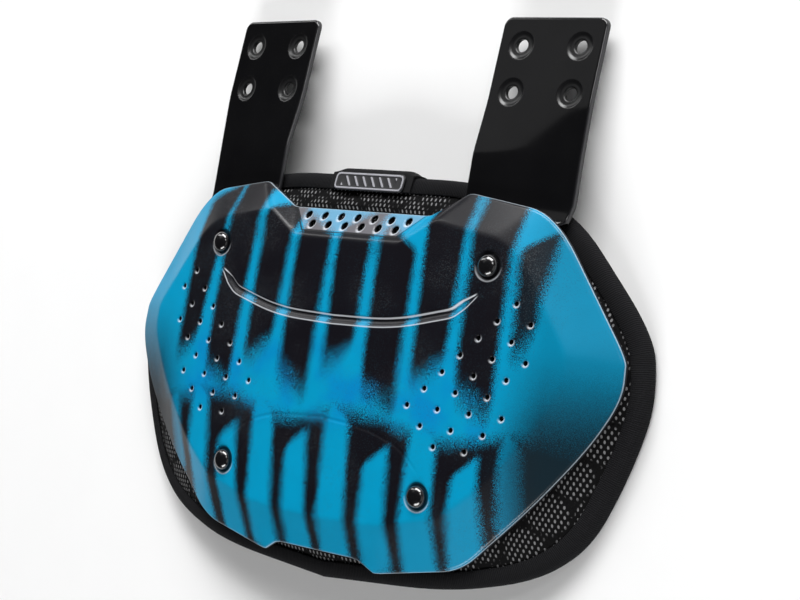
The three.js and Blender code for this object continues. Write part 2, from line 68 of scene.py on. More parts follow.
# Shell, right half from the top centre to the bottom centre: crease X, crease Y, rim X, rim Y, rim
# drop, rounding. X in shares of the half width, Y of the length from its lower end, drop of the
# wings' drop.
SHELL_ROWS = (
    (0, 0.853, 0, 0.934, 0.45, 0),
    (0.213, 0.853, 0.282, 0.934, 0.45, 0.06),
    (0.337, 0.92, 0.422, 1, 0.49, 0.08),
    (0.628, 0.88, 0.717, 0.965, 0.69, 0.3),
    (0.844, 0.628, 0.994, 0.628, 1, 0.16),
    (0.853, 0.552, 1, 0.533, 0.974, 0.45),
    (0.756, 0.412, 0.92, 0.406, 0.875, 0.45),
    (0.606, 0.259, 0.761, 0.239, 0.747, 0.4),
    (0.483, 0.178, 0.539, 0.052, 0.709, 0.22),
    (0.278, 0.133, 0.233, 0, 0.55, 0.1),
    (0.2, 0.126, 0.169, 0.03, 0.434, 0.2),
    (0, 0.121, 0, 0.03, 0.423, 0),
)
# Pad edge, right half from the top centre down: X, Y, drop, rounding, in shares of the pad's sizes.
PAD_ROWS = (
    (0, 1, 0.575, 0),
    (0.345, 1, 0.625, 0.3),
    (0.68, 0.957, 0.81, 0.35),
    (0.972, 0.68, 1, 0.35),
    (1, 0.525, 1, 0.45),
    (0.948, 0.367, 1, 0.45),
    (0.855, 0.19, 1, 0.45),
    (0.705, 0.09, 0.87, 0.45),
    (0.44, 0.029, 0.65, 0.4),
    (0, 0, 0.6, 0),
)
# Pressed lines on the face, right half from the middle out: X, Y, rounding, in shares.
STEP_ROWS = ((0, 0.64, 0), (0.24, 0.645, 0.45), (0.45, 0.69, 0.12), (0.545, 0.752, 0))
ARC_ROWS = ((0, 0.381, 0), (0.2, 0.37, 0.45), (0.325, 0.335, 0.3), (0.4, 0.28, 0))
# Strap stations up its length: Y share, drop share, yaw in degrees, outer half width share.
STRAP_ROWS = (
    (0, 0.345, 5.4, 0.35),
    (0.16, 0.37, 5.6, 0.35),
    (0.215, 0.47, 6.5, 0.3),
    (0.28, 0.705, 9, 0.95),
    (0.34, 0.79, 8.8, 1),
    (0.5, 0.84, 8.5, 1),
    (0.69, 1.005, 4, 1),
    (1, 1.265, 4, 1),
)
# Perforations from the top row down: lattice columns out from the middle.
PERFORATION_COLUMNS = (
    (12,), (11, 13), (10, 12), (9, 11, 13), (8, 10, 12), (7, 9, 11), (6, 8, 10, 12), (7, 9, 11), (8, 10),
)
# Sprayed bars: X at the lower and upper end, half widths there, lower and upper end, slant of the
# ends, fade of the lower end, in mm. Dark bars lie on the bright paint, light bars on the dark.
DARK_BARS = (
    (-116, -105, 8, 12.5, -62, 31, 6, 8),
    (-86, -78, 11, 13, -76, 44, -6, 10),
    (-54, -50, 10, 12.5, -58, 27, 7, 8),
    (-24, -21, 11.5, 13, -74, 15, -6, 10),
    (7, 8, 10, 12.5, -56, 22, 7, 8),
    (38, 38, 12, 13.2, -76, 12, -7, 11),
    (68, 68, 10, 13.2, -58, 42, 7, 9),
    (98, 97, 11.5, 13, -72, 44, -6, 11),
    (123, 122, 6, 9, -40, 16, 6, 10),
)
LIGHT_BARS = (
    (-119, -121, 7, 5, -135, -88, 5, 5),
    (-93, -97, 10.5, 7, -170, -82, -5, 5),
    (-64, -70, 9.5, 7, -170, -104, 5, 5),
    (-38, -43, 10.5, 7.5, -170, -84, -6, 5),
    (-11, -15, 9.5, 7.5, -170, -102, 6, 5),
    (15, 13, 10.5, 8, -170, -82, -6, 5),
    (43, 42, 10, 7.5, -170, -104, 6, 5),
    (70, 71, 11, 8, -170, -84, -6, 5),
    (97, 99, 10, 7, -160, -102, 6, 5),
    (121, 124, 7, 5, -140, -84, -5, 5),
)
# Tray of the vents, as corners in mm, and the rows of vents in it: their number and Y
TRAY = ((-34, 10.2), (34, 10.2), (50, 27), (-52, 27))
VENT_ROWS = ((7, 19.6), (6, 14.5))
# Half width of the top notch, in shares of the shell's
NOTCH_SHARE = 0.34
# Where points are set beside a pressed line and on its slopes, in shares of its width
PRESSED_SHARES = (-0.6, -0.47, -0.33, -0.15, 0.03, 0.2, 0.33, 0.48, 0.6)
# Small forms in mm: slopes of the rivets' and bolts' seats, width and depth of the lip of a hole,
# width and depth of the grooves between the pad's cells
RIVET_SEAT_SLOPE, BOLT_SEAT_SLOPE = 1.4, 1.8
LIP_WIDTH, LIP_DEPTH = 1.1, 0.45
GROOVE_WIDTH, GROOVE_DEPTH = 2.2, 1.3


# Properties


def millimetres(name, description, default, low=0.0):
    """A length in the panel, in metres for Blender, from millimetres here."""
    return bpy.props.FloatProperty(
        name=name, description=description, default=default * MM, min=low * MM, unit="LENGTH", precision=4
    )


def tint(name, description, default):
    """A colour in the panel."""
    return bpy.props.FloatVectorProperty(
        name=name, description=description, default=default, size=3, min=0, max=1, subtype="COLOR"
    )


class ShellSettings(bpy.types.PropertyGroup):
    half_width: millimetres("Half width", "From the middle to a wing's tip", 174)
    length: millimetres("Length", "From the horns to the lower lobes", 204)
    below_rivets: millimetres("Below rivets", "From the upper rivets down to the lower end", 166.8)
    thickness: millimetres("Thickness", "Wall of the moulded shell", 2.8)
    wing_drop: millimetres("Wing drop", "Depth of the wings' tips under the crown", 25.6)
    radius_across: millimetres("Radius across", "Bow of the face from wing to wing", 1015)
    radius_along: millimetres("Radius along", "Bow of the face from top to bottom", 1680)
    crown_y: millimetres("Crown", "Height of the crown's line, from the upper rivets", -53, -200)
    centre_y: millimetres("Centre", "Middle of the face, from the upper rivets", -64.8, -200)
    crease_radius: millimetres("Crease radius", "Softness of the folded edges", 1.5)
    edge_radius: millimetres("Edge radius", "Rounding of the cut edge", 0.7)
    hole_pitch: millimetres("Hole pitch", "Lattice of the small holes", 9.67)
    hole_radius: millimetres("Hole radius", "Radius of the small holes", 1.45)
    holes_top: millimetres("Top hole row", "First row of small holes, from the upper rivets", -17.6, -200)
    vent_radius: millimetres("Vent radius", "Radius of the vent holes", 2.3)
    vent_pitch: millimetres("Vent pitch", "Spacing of the vent holes", 12.1)
    step_width: millimetres("Step width", "Width of the pressed step", 6.4)
    step_depth: millimetres("Step depth", "Depth of the pressed step", 1.9)
    arc_width: millimetres("Arc width", "Width of the lower pressed arc", 3)
    arc_depth: millimetres("Arc depth", "Depth of the lower pressed arc", 0.4)
    tray_depth: millimetres("Tray depth", "Depth of the vents' tray", 0.7)
    paint: tint("Paint", "Bright colour of the shell", (0.0, 0.3, 0.53))
    deep_paint: tint("Deep paint", "Deeper colour sprayed over the middle", (0.0, 0.16, 0.5))
    dark_paint: tint("Dark paint", "Dark sprayed colour", (0.0045, 0.004, 0.0065))
    # This colour paints the highlights of the step, the notch, the holes and the seats
    painted_highlight: tint("Painted highlight", "Light caught by the step, the notch and the holes", (0.72, 0.75, 0.8))
    cut_edge: tint("Cut edge", "Pale edge of the moulding", (0.45, 0.52, 0.58))


class RivetSettings(bpy.types.PropertyGroup):
    upper_x: millimetres("Upper rivets", "From the middle to an upper rivet", 96.7)
    lower_x: millimetres("Lower rivets", "From the middle to a lower rivet", 71.1)
    lower_y: millimetres("Lower line", "Lower rivets, from the upper ones", -121.7, -200)
    head_radius: millimetres("Head radius", "Radius of the dome", 5.9)
    head_height: millimetres("Head height", "Height of the dome", 4.6)
    seat_radius: millimetres("Seat radius", "Radius of the dished seat", 7.8)
    seat_depth: millimetres("Seat depth", "Depth of the dished seat", 0.8)
    head_rim: millimetres("Head rim", "Straight side of the head, under the dome", 0.8)
    shank_radius: millimetres("Shank radius", "Radius of the shank", 2.3)
    tail_radius: millimetres("Tail radius", "Radius of the flat tail", 7)
    tail_thickness: millimetres("Tail thickness", "Thickness of the flat tail", 1.4)
    hole_radius: millimetres("Hole radius", "Radius of the holes for the shank", 2.6)


class PadSettings(bpy.types.PropertyGroup):
    half_width: millimetres("Half width", "From the middle to the side of the edging", 183.5)
    top_y: millimetres("Top", "Top of the edging, from the upper rivets", 44.5)
    length: millimetres("Length", "From the top to the bottom of the edging", 220)
    drop: millimetres("Drop", "Depth of the sides under the crown", 39.6)
    thickness: millimetres("Thickness", "Foam and cover", 14)
    taper: millimetres("Taper", "Width over which the foam thins to its hem", 16)
    edging_width: millimetres("Edging width", "Width of the woven edging on each face", 9)
    edging_height: millimetres("Edging height", "Thickness over the edging", 8.8)
    edging_wall: millimetres("Edging wall", "Thickness of the edging's cloth", 1.3)
    cell_pitch: millimetres("Cell pitch", "Spacing of the six-sided foam cells", 23)
    puff: millimetres("Puff", "How far a cell may swell", 1.8)
    clearance: millimetres("Clearance", "Gap kept between pieces", 0.3)


class StrapSettings(bpy.types.PropertyGroup):
    centre_x: millimetres("Centre", "From the middle to a strap's centre line", 98.8)
    width: millimetres("Width", "Width of a strap", 63.5)
    thickness: millimetres("Thickness", "Thickness of a strap", 2.9)
    top_y: millimetres("Top", "Top end, from the upper rivets", 133.5)
    bottom_y: millimetres("Bottom", "Hidden end, from the upper rivets", -16, -200)
    corner: millimetres("Corner", "Radius of the top corners", 5)
    bolts_across: millimetres("Bolts across", "Spacing across the strap", 36)
    bolts_along: millimetres("Bolts along", "Spacing along the strap", 25.4)
    bolts_below: millimetres("Bolts below top", "From the top end to the first bolts", 15.5)
    bolt_radius: millimetres("Bolt hole radius", "Radius of a bolt hole", 3.5)


class LabelSettings(bpy.types.PropertyGroup):
    half_width: millimetres("Half width", "From the middle to a side of the tab", 29)
    rise: millimetres("Rise", "How far the tab stands out past the edging", 3.6)
    side_rise: millimetres("Side rise", "The same at the sides of the tab", 1.2)
    wall: millimetres("Wall", "Thickness of the tab's cloth", 1.2)
    patch_length: millimetres("Patch length", "Length of the moulded patch", 50)
    patch_width: millimetres("Patch width", "Width of the moulded patch", 10.5)
    patch_thickness: millimetres("Patch thickness", "Thickness of the moulded patch", 1)


class BackPlateSettings(bpy.types.PropertyGroup):
    shell: bpy.props.PointerProperty(type=ShellSettings)
    rivets: bpy.props.PointerProperty(type=RivetSettings)
    pad: bpy.props.PointerProperty(type=PadSettings)
    straps: bpy.props.PointerProperty(type=StrapSettings)
    label: bpy.props.PointerProperty(type=LabelSettings)


class Sizes:
    """A settings group read in millimetres, so that size.width is a plain number."""

    def __init__(self, group):
        self.group = group

    def __getattr__(self, name):
        return getattr(self.group, name) / MM


def sizes(name):
    """A settings group by its name, in millimetres."""
    return Sizes(getattr(bpy.context.scene.back_plate, name))


# Lines and areas


def ease(share):
    """A soft rise from 0 to 1 along a share, which may lie outside of them."""
    share = np.clip(share, 0, 1)
    return share * share * (3 - 2 * share)


def left_normals(along):
    """Unit normals to the left of directions in the plane."""
    return np.c_[-along[:, 1], along[:, 0]] / np.hypot(along[:, 0], along[:, 1])[:, None]


def away_from(points, centre):
    """Distance from a centre to each point."""
    return np.hypot(*(points - centre).T)

def rounded_line(rows, closed, longest, scale, steps=8):
    """Table rows to a fine line: the last column rounds a corner, and scale gives mm for each column."""
    rows = np.array(rows, float)
    last = len(rows) - 1
    line = []
    for i, row in enumerate(rows):
        if row[-1] == 0 or (not closed and i in (0, last)):
            line.append(row[:-1])
            continue
        start = row + (rows[i - 1] - row) * row[-1]
        end = row + (rows[(i + 1) % len(rows)] - row) * row[-1]
        for t in np.linspace(0, 1, steps + 1):
            line.append((start * (1 - t) ** 2 + 2 * row * t * (1 - t) + end * t * t)[:-1])
    line = np.array(line) * scale
    if closed:
        line = np.vstack([line, line[:1]])
    fine = []
    for a, b in zip(line[:-1], line[1:]):
        pieces = max(1, math.ceil(np.abs(b - a).max() / longest))
        fine.extend(a + (b - a) * k / pieces for k in range(pieces))
    if not closed:
        fine.append(line[-1])
    return np.array(fine)


def mirror_rows(rows, columns):
    """Adds the left half to a table that runs from the top centre to the bottom centre."""
    left = np.array(rows[-2:0:-1], float)
    left[:, columns] *= -1
    return np.vstack([np.array(rows, float), left])


def circle(centre, radius, count):
    """Points round a circle, anticlockwise."""
    turns = np.arange(count) * 2 * math.pi / count
    return np.array(centre) + radius * np.c_[np.cos(turns), np.sin(turns)]


def inside(points, loop):
    """Which points lie inside a closed loop."""
    found = np.zeros(len(points), bool)
    a, b = loop, np.roll(loop, -1, axis=0)
    for (ax, ay), (bx, by) in zip(a, b):
        if ay == by:
            continue
        spans = (points[:, 1] < ay) != (points[:, 1] < by)
        cut = ax + (points[:, 1] - ay) * (bx - ax) / (by - ay)
        found ^= spans & (points[:, 0] < cut)
    return found


def distance_to(points, line, closed=False):
    """Distance to a polyline, its sign by side, and the share along it of the nearest place."""
    ends = np.vstack([line, line[:1]]) if closed else line
    a, b = ends[:-1], ends[1:]
    run = b - a
    length = np.maximum(np.hypot(run[:, 0], run[:, 1]), 1e-9)
    before = np.concatenate([[0], np.cumsum(length)[:-1]])
    best = np.full(len(points), 1e9)
    side = np.ones(len(points))
    share = np.zeros(len(points))
    for k in range(len(a)):
        away = points - a[k]
        t = np.clip(away @ run[k] / length[k] ** 2, 0, 1)
        off = away - t[:, None] * run[k]
        d = np.hypot(off[:, 0], off[:, 1])
        nearer = d < best
        best[nearer] = d[nearer]
        side[nearer] = np.sign(run[k, 0] * off[nearer, 1] - run[k, 1] * off[nearer, 0])
        share[nearer] = (before[k] + t[nearer] * length[k]) / length.sum()
    return best, side, share


def inset_loop(loop, depth):
    """A clockwise or anticlockwise loop moved towards its inside by depth."""
    along = np.roll(loop, -1, axis=0) - np.roll(loop, 1, axis=0)
    normal = left_normals(along)
    area = np.sum(loop[:, 0] * np.roll(loop[:, 1], -1) - loop[:, 1] * np.roll(loop[:, 0], -1))
    return loop + normal * depth * np.sign(area)


def lattice(low, high, spacing):
    """Points of a lattice of even triangles over a box."""
    rise = spacing * math.sqrt(3) / 2
    ys = np.arange(low[1], high[1] + rise, rise)
    points = []
    for row, y in enumerate(ys):
        xs = np.arange(low[0] + (row % 2) * spacing / 2, high[0] + spacing, spacing)
        points.append(np.c_[xs, np.full(len(xs), y)])
    return np.vstack(points)


def apart(points, others, gap):
    """The points that lie at least gap from all the others."""
    tree = KDTree(len(others))
    for i, (x, y) in enumerate(others):
        tree.insert((x, y, 0), i)
    tree.balance()
    keep = [tree.find((x, y, 0))[2] >= gap for x, y in points]
    return points[np.array(keep, bool)]


def filled_area(outline, holes, extra, spacing):
    """Even triangles over an outline with holes, through the extra points. Returns points and faces."""
    loops = [outline, *holes]
    points = np.vstack(loops)
    for group in extra:
        points = np.vstack([points, apart(group[inside(group, outline)], points, 0.28)])
    grid = lattice(outline.min(0), outline.max(0), spacing)
    grid = grid[inside(grid, outline)]
    points = np.vstack([points, apart(grid, points, spacing * 0.6)])
    edges = []
    first = 0
    for loop in loops:
        count = len(loop)
        edges.extend((first + i, first + (i + 1) % count) for i in range(count))
        first += count
    found = delaunay_2d_cdt([Vector(p) for p in points], edges, [], 0, 1e-4)
    points = np.array([tuple(p) for p in found[0]])
    faces = np.array([tuple(f) for f in found[2]])
    middle = points[faces].mean(axis=1)
    keep = inside(middle, outline)
    for hole in holes:
        near = keep & (np.abs(middle - hole.mean(0)).max(axis=1) < np.ptp(hole, axis=0).max())
        keep[np.flatnonzero(near)[inside(middle[near], hole)]] = False
    used, faces = np.unique(faces[keep], return_inverse=True)
    points, faces = points[used], faces.reshape(-1, 3)
    a, b, c = (points[faces[:, k]] for k in range(3))
    turned = (b - a)[:, 0] * (c - a)[:, 1] - (b - a)[:, 1] * (c - a)[:, 0] < 0
    faces[turned] = faces[turned][:, ::-1]
    return points, faces


def rim_edges(faces):
    """The directed edges that belong to one face only."""
    pairs = np.vstack([faces[:, [0, 1]], faces[:, [1, 2]], faces[:, [2, 0]]])
    held = {tuple(pair) for pair in pairs}
    return [pair for pair in held if pair[::-1] not in held]


# Meshes


def shift():
    """From the shell's crown and rivet line to the frame's origin, in millimetres."""
    size = sizes("straps")
    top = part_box("strap_right")[1].y / MM
    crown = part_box("shell")[1].z / MM + face_drop(0, sizes("shell").centre_y)
    return np.array([0, top - size.top_y, crown])


def make_piece(name, points, faces, node, material, marks=None, sharp=40):
    """A smooth mesh object from points in millimetres, riding on the root in place of a node."""
    mesh = bpy.data.meshes.new(name)
    mesh.from_pydata(((np.array(points) + shift()) * MM).tolist(), [], [list(f) for f in faces])
    shape = bmesh.new()
    shape.from_mesh(mesh)
    bmesh.ops.recalc_face_normals(shape, faces=shape.faces)
    shape.to_mesh(mesh)
    shape.free()
    for key, values in (marks or {}).items():
        layer = mesh.attributes.new(key, "FLOAT", "POINT")
        layer.data.foreach_set("value", np.ascontiguousarray(values, np.float32))
    mesh.polygons.foreach_set("use_smooth", [True] * len(mesh.polygons))
    mesh.set_sharp_from_angle(angle=math.radians(sharp))
    mesh.validate()
    mesh.materials.append(material)
    piece = bpy.data.objects.new(name, mesh)
    bpy.context.scene.collection.objects.link(piece)
    bpy.context.view_layer.update()
    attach(piece, "root")
    if node:
        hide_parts(node)
    return piece


def sheet_body(points, faces, top, bottom):
    """A closed body from a flat triangulation and the heights of its two sides."""
    count = len(points)
    solid = np.vstack([top, bottom])
    walls = [(b, a, a + count, b + count) for a, b in rim_edges(faces)]
    under = faces[:, ::-1] + count
    return solid, [tuple(f) for f in faces] + [tuple(f) for f in under] + walls


def sheet_marks(both, front=None):
    """Marks of a sheet's points on both of its sides, and marks on the front that are 0 behind."""
    marks = {key: np.tile(values, 2) for key, values in both.items()}
    marks.update({key: np.r_[values, values * 0] for key, values in (front or {}).items()})
    return {key: np.clip(values, -MARK_REACH, MARK_REACH) for key, values in marks.items()}


def ray_heights(points, tree, missed, above=60):
    """Heights where rays straight down meet a surface, and given ones where they miss it."""
    heights = np.array(missed, float)
    for i, (x, y) in enumerate(points):
        hit = tree.ray_cast((x, y, above), -UP)[0]
        if hit is not None:
            heights[i] = hit.z
    return heights


def swept_body(loops, closed):
    """A closed body from a chain of equal loops, capped at both ends if the chain is open."""
    count, length = len(loops[0]), len(loops)
    faces = []
    for k in range(length if closed else length - 1):
        here, there = k * count, ((k + 1) % length) * count
        faces.extend(
            (here + i, there + i, there + (i + 1) % count, here + (i + 1) % count) for i in range(count)
        )
    if not closed:
        faces.append(tuple(range(count)))
        faces.append(tuple((length - 1) * count + i for i in reversed(range(count))))
    return np.vstack(loops), faces


def turned_body(profile, sides):
    """A body turned about Z from a profile of radius and height that starts and ends on the axis."""
    points, faces = [(0, 0, profile[0][1])], []
    for radius, height in profile[1:-1]:
        ring = circle((0, 0), radius, sides)
        points.extend((x, y, height) for x, y in ring)
    points.append((0, 0, profile[-1][1]))
    rings = len(profile) - 2
    for i in range(sides):
        j = (i + 1) % sides
        faces.append((0, 1 + j, 1 + i))
        for k in range(rings - 1):
            a, b = 1 + k * sides, 1 + (k + 1) * sides
            faces.append((a + i, a + j, b + j, b + i))
        end = 1 + (rings - 1) * sides
        faces.append((end + i, end + j, len(points) - 1))
    return np.array(points, float), faces


# Shader maths


def math_method(operation, reflected=False):
    """A method of Wire that adds one Math node, for an operator or for its reflected form."""

    def method(self, *others):
        values = (*others, self) if reflected else (self, *others)
        return self.nodes.node("Math", {"operation": operation}, enumerate(values))

    return method


class Wire:
    """A socket that takes part in plain expressions, each adding its Math node."""

    __add__, __radd__ = math_method("ADD"), math_method("ADD", reflected=True)
    __sub__, __rsub__ = math_method("SUBTRACT"), math_method("SUBTRACT", reflected=True)
    __mul__, __rmul__ = math_method("MULTIPLY"), math_method("MULTIPLY", reflected=True)
    __truediv__, __rtruediv__ = math_method("DIVIDE"), math_method("DIVIDE", reflected=True)
    __mod__, __rmod__ = math_method("FLOORED_MODULO"), math_method("FLOORED_MODULO", reflected=True)
    __pow__, __rpow__ = math_method("POWER"), math_method("POWER", reflected=True)
    __abs__, __floor__ = math_method("ABSOLUTE"), math_method("FLOOR")
    fraction, sine, arctan2 = math_method("FRACT"), math_method("SINE"), math_method("ARCTAN2")

    def __init__(self, nodes, socket):
        self.nodes = nodes
        self.socket = socket

    def clamped(self):
        """The same number, kept from 0 to 1."""
        return self.nodes.node("Math", {"operation": "ADD", "use_clamp": True}, {0: self, 1: 0})

    def smooth(self, low, high):
        """0 below low, 1 above high and a soft rise between."""
        values = enumerate((self, low, high, 0, 1))
        return self.nodes.node("MapRange", {"interpolation_type": "SMOOTHSTEP"}, values)


class Nodes:
    """A node tree whose nodes all come from one method."""

    def __init__(self, tree):
        self.tree = tree

    def node(self, kind, settings=None, values=(), output=0):
        """A node of a kind, its settings made first, then the values or links of its sockets."""
        node = self.tree.nodes.new("ShaderNode" + kind)
        for key, value in (settings or {}).items():
            setattr(node, key, value)
        self.fill(node, values)
        return Wire(self, node.outputs[output])

    def fill(self, node, values):
        """Links wires to a node's sockets, or sets the sockets' own values."""
        for key, value in dict(values).items():
            port = node.inputs[key]
            if isinstance(value, Wire):
                self.tree.links.new(value.socket, port)
            else:
                port.default_value = (*value, 1) if port.type == "RGBA" else value

    def axes(self, vector):
        """The three numbers of a vector."""
        split = self.node("SeparateXYZ", values={"Vector": vector})
        return [Wire(self, port) for port in split.socket.node.outputs]


class Finish(Nodes):
    """A material whose colour and relief are written as expressions."""

    def __init__(self, name):
        self.material = bpy.data.materials.new(name)
        self.material.use_nodes = True
        super().__init__(self.material.node_tree)

    def mark(self, name):
        """A mesh attribute as a number."""
        return self.node("Attribute", {"attribute_name": name}, output=2)

    def place(self):
        """The point on the object, in metres."""
        return self.node("TexCoord", output=3)

    def grain(self, pitch, detail=2.0, rough=0.5):
        """Noise from 0 to 1 whose features are about a pitch in millimetres wide."""
        values = {"Vector": self.place(), "Scale": 1 / (pitch * MM), "Detail": detail, "Roughness": rough}
        return self.node("TexNoise", values=values)

    def blend(self, share, first, second):
        """A colour between two, by a share."""
        return self.node("Mix", {"data_type": "RGBA"}, {0: share, 6: first, 7: second}, output=2)

    def bump(self, height, depth, strength=1.0):
        """A bump whose full height is a depth in millimetres."""
        return self.node("Bump", values={"Height": height, "Distance": depth * MM, "Strength": strength})

    def set(self, **values):
        """Fills the sockets of the material's own shader and returns the material."""
        named = {key.replace("_", " "): value for key, value in values.items()}
        self.fill(self.tree.nodes["Principled BSDF"], named)
        return self.material


# The shell's surface


def face_drop(x, y):
    """Depth of the face under the crown."""
    size = sizes("shell")
    return x * x / (2 * size.radius_across) + (y - size.crown_y) ** 2 / (2 * size.radius_along)


def face_normal(x, y):
    """Which way the face looks at a place."""
    size = sizes("shell")
    return Vector((x / size.radius_across, (y - size.crown_y) / size.radius_along, 1)).normalized()


def shell_line():
    """Crease X, Y and rim X, Y, Z all round the shell, clockwise from the top centre."""
    size = sizes("shell")
    scale = np.array([size.half_width, size.length, size.half_width, size.length, -size.wing_drop])
    line = rounded_line(mirror_rows(SHELL_ROWS, [0, 2]), True, 2.2, scale)
    line[:, [1, 3]] -= size.below_rivets
    return line


def share_line(rows):
    """A pressed line from its table, from the left end to the right."""
    size = sizes("shell")
    right = rounded_line(rows, False, 2.0, np.array([size.half_width, size.length]))
    right[:, 1] -= size.below_rivets
    return np.vstack([right[:0:-1] * (-1, 1), right])


def band_tree(line, reach=8.0):
    """The sloped band from crease to rim, stretched a little past the rim, for height rays."""
    crease = np.c_[line[:, :2], -face_drop(line[:, 0], line[:, 1])]
    rim = line[:, 2:]
    run = rim - crease
    beyond = rim + run * (reach / np.hypot(run[:, 0], run[:, 1]))[:, None]
    points = np.vstack([crease, rim, beyond])
    count = len(line)
    faces = []
    for ring in (0, count):
        for i in range(count):
            j = (i + 1) % count
            faces.append((ring + i, ring + j, ring + count + j, ring + count + i))
    return BVHTree.FromPolygons([Vector(p) for p in points], faces)


def band_height(points, tree):
    """Height of the sharp-edged outer surface at each point."""
    return ray_heights(points, tree, -face_drop(points[:, 0], points[:, 1]), above=50)


def soft_height(points, tree, radius):
    """The outer surface with its creases softened over a radius."""
    rings = [circle((0, 0), radius * share, 6) for share in (0.55, 1)]
    return np.mean([band_height(points + tap, tree) for tap in np.vstack([(0, 0), *rings])], axis=0)


def pressed(points, line, width, depth, low=0.2):
    """Depth of a pressed line, lowest at a share of its width, dying out at its ends."""
    away, side, share = distance_to(points, line)
    across = away * side / width
    ends = np.clip(0.1 + 14 * np.minimum(share, 1 - share), 0, 1)
    upper = np.clip((0.5 - across) / (0.5 - low), 0, 1)
    lower = np.clip((across + 0.5) / (low + 0.5), 0, 1)
    fall = (1 - np.cos(math.pi * np.minimum(upper, lower))) / 2
    return np.where(away < width * 0.75, fall * depth * ends, 0)


def rivet_places():
    """Where the rivets stand on the face, by the names of their nodes."""
    size = sizes("rivets")
    return {
        "rivet_upper_left": (-size.upper_x, 0),
        "rivet_upper_right": (size.upper_x, 0),
        "rivet_lower_left": (-size.lower_x, size.lower_y),
        "rivet_lower_right": (size.lower_x, size.lower_y),
    }


def shell_holes():
    """Centre, radius and sides of the small holes and the vents, and last of the rivets' holes."""
    size = sizes("shell")
    holes = []
    for row, columns in enumerate(PERFORATION_COLUMNS):
        for column in columns:
            for side in (-1, 1):
                centre = (side * column * size.hole_pitch, size.holes_top - row * size.hole_pitch)
                holes.append((centre, size.hole_radius, 12))
    for count, y in VENT_ROWS:
        for i in range(count):
            holes.append((((i - (count - 1) / 2) * size.vent_pitch, y), size.vent_radius, 18))
    return holes + [(centre, sizes("rivets").hole_radius, 18) for centre in rivet_places().values()]


def bar_depth(points, bars, corner=3.5):
    """How deep each point lies in a table of bars, in mm, softened where an end fades out."""
    x, y = points.T
    depth = np.full(len(points), -FAR)
    for low_x, high_x, low_half, high_half, low, high, slant, fade in bars:
        share = np.clip((y - low) / (high - low), 0, 1)
        off = x - low_x - (high_x - low_x) * share
        half = low_half + (high_half - low_half) * share
        tilt = slant * off / half
        side = half - np.abs(off)
        end = np.minimum((y - low - tilt) * 3 / fade, (high - y + tilt))
        both = np.hypot(np.maximum(corner - side, 0), np.maximum(corner - end, 0))
        rounded = (side < corner) & (end < corner)
        depth = np.maximum(depth, np.where(rounded, corner - both, np.minimum(side, end)))
    return depth


def spray_depth(points):
    """Depth into the dark of the sprayed design: dark bars above, light bars on dark below."""
    x, y = points[:, 0], points[:, 1]
    ground = (-88 + 4 * np.sin(x / 17) - y) / 2
    return np.maximum(bar_depth(points, DARK_BARS), np.minimum(ground, -bar_depth(points, LIGHT_BARS)))


def wing_shade(points):
    """Airbrushed dark of the lower wings and of the lowest edge, from 0 to 1."""
    x, y = np.abs(points[:, 0]), points[:, 1]
    return ease(np.clip((x - 104) / 34, 0, 1) * np.clip((-28 - y + (x - 130) * 0.15) / 70, 0, 1))


def tray_depth(points):
    """How far each point lies inside the vents' tray, in mm, and below 0 outside it."""
    corners = np.array(TRAY, float)
    away, _, _ = distance_to(points, corners, closed=True)
    return np.where(inside(points, corners), away, -away)


def rim_glint(points, centre, radius, light, least, width, reach):
    """The lit part of a rim about a centre, 1 on the side that faces the light's direction."""
    away = away_from(points, centre)
    facing = np.clip((points - centre) @ light / np.maximum(away, 0.1) + least, 0, 1)
    return facing * np.clip(reach - np.abs(away - radius) / width, 0, 1)


def shell_area(line, holes):
    """The shell's flat triangulation, with points along all that bends its surface."""
    size, rivets = sizes("shell"), sizes("rivets")
    outline = line[:, 2:4]
    extra = [inset_loop(outline, size.edge_radius * share) for share in (0.3, 1, 2.2)]
    extra += [inset_loop(line[:, :2], size.crease_radius * share) for share in (-1, -0.4, 0.4, 1)]
    for rows, width in ((STEP_ROWS, size.step_width), (ARC_ROWS, size.arc_width)):
        path = share_line(rows)
        normal = left_normals(np.gradient(path, axis=0))
        extra += [path + normal * width * share for share in PRESSED_SHARES]
    tray = rounded_line([(*corner, 0) for corner in TRAY], True, 1.6, 1)
    extra += [inset_loop(tray, depth) for depth in (-0.4, 0.02, 0.5, 1, 1.5)]
    for centre, radius, sides in holes:
        extra += [circle(centre, radius + lip, sides) for lip in (0.3, 0.7, 1.2)]
    for centre in rivet_places().values():
        extra += [circle(centre, rivets.seat_radius + lip, 36) for lip in (-2, -1.2, -0.5, 0.1, 0.8)]
    return filled_area(outline, [circle(*hole) for hole in holes], extra, SHELL_SPACING)


def shell_heights(points, edge, line, holes):
    """Height of the outer surface with all its dishes, and of the plain inner surface."""
    size, rivets = sizes("shell"), sizes("rivets")
    top = soft_height(points, band_tree(line), size.crease_radius)
    top = top - size.tray_depth * np.clip(tray_depth(points), 0, 1)
    bottom = top - size.thickness
    top = top - pressed(points, share_line(STEP_ROWS), size.step_width, size.step_depth)
    top = top - pressed(points, share_line(ARC_ROWS), size.arc_width, size.arc_depth, low=0)
    for centre in rivet_places().values():
        slope = (rivets.seat_radius - away_from(points, centre)) / RIVET_SEAT_SLOPE
        top = top - rivets.seat_depth * ease(slope)
    for centre, radius, _ in holes:
        beyond = away_from(points, centre) - radius
        top = top - LIP_DEPTH * np.clip(1 - beyond / LIP_WIDTH, 0, 1) ** 2
    near = np.clip(size.edge_radius - edge, 0, size.edge_radius)
    return top - (size.edge_radius - np.sqrt(size.edge_radius ** 2 - near ** 2)), bottom


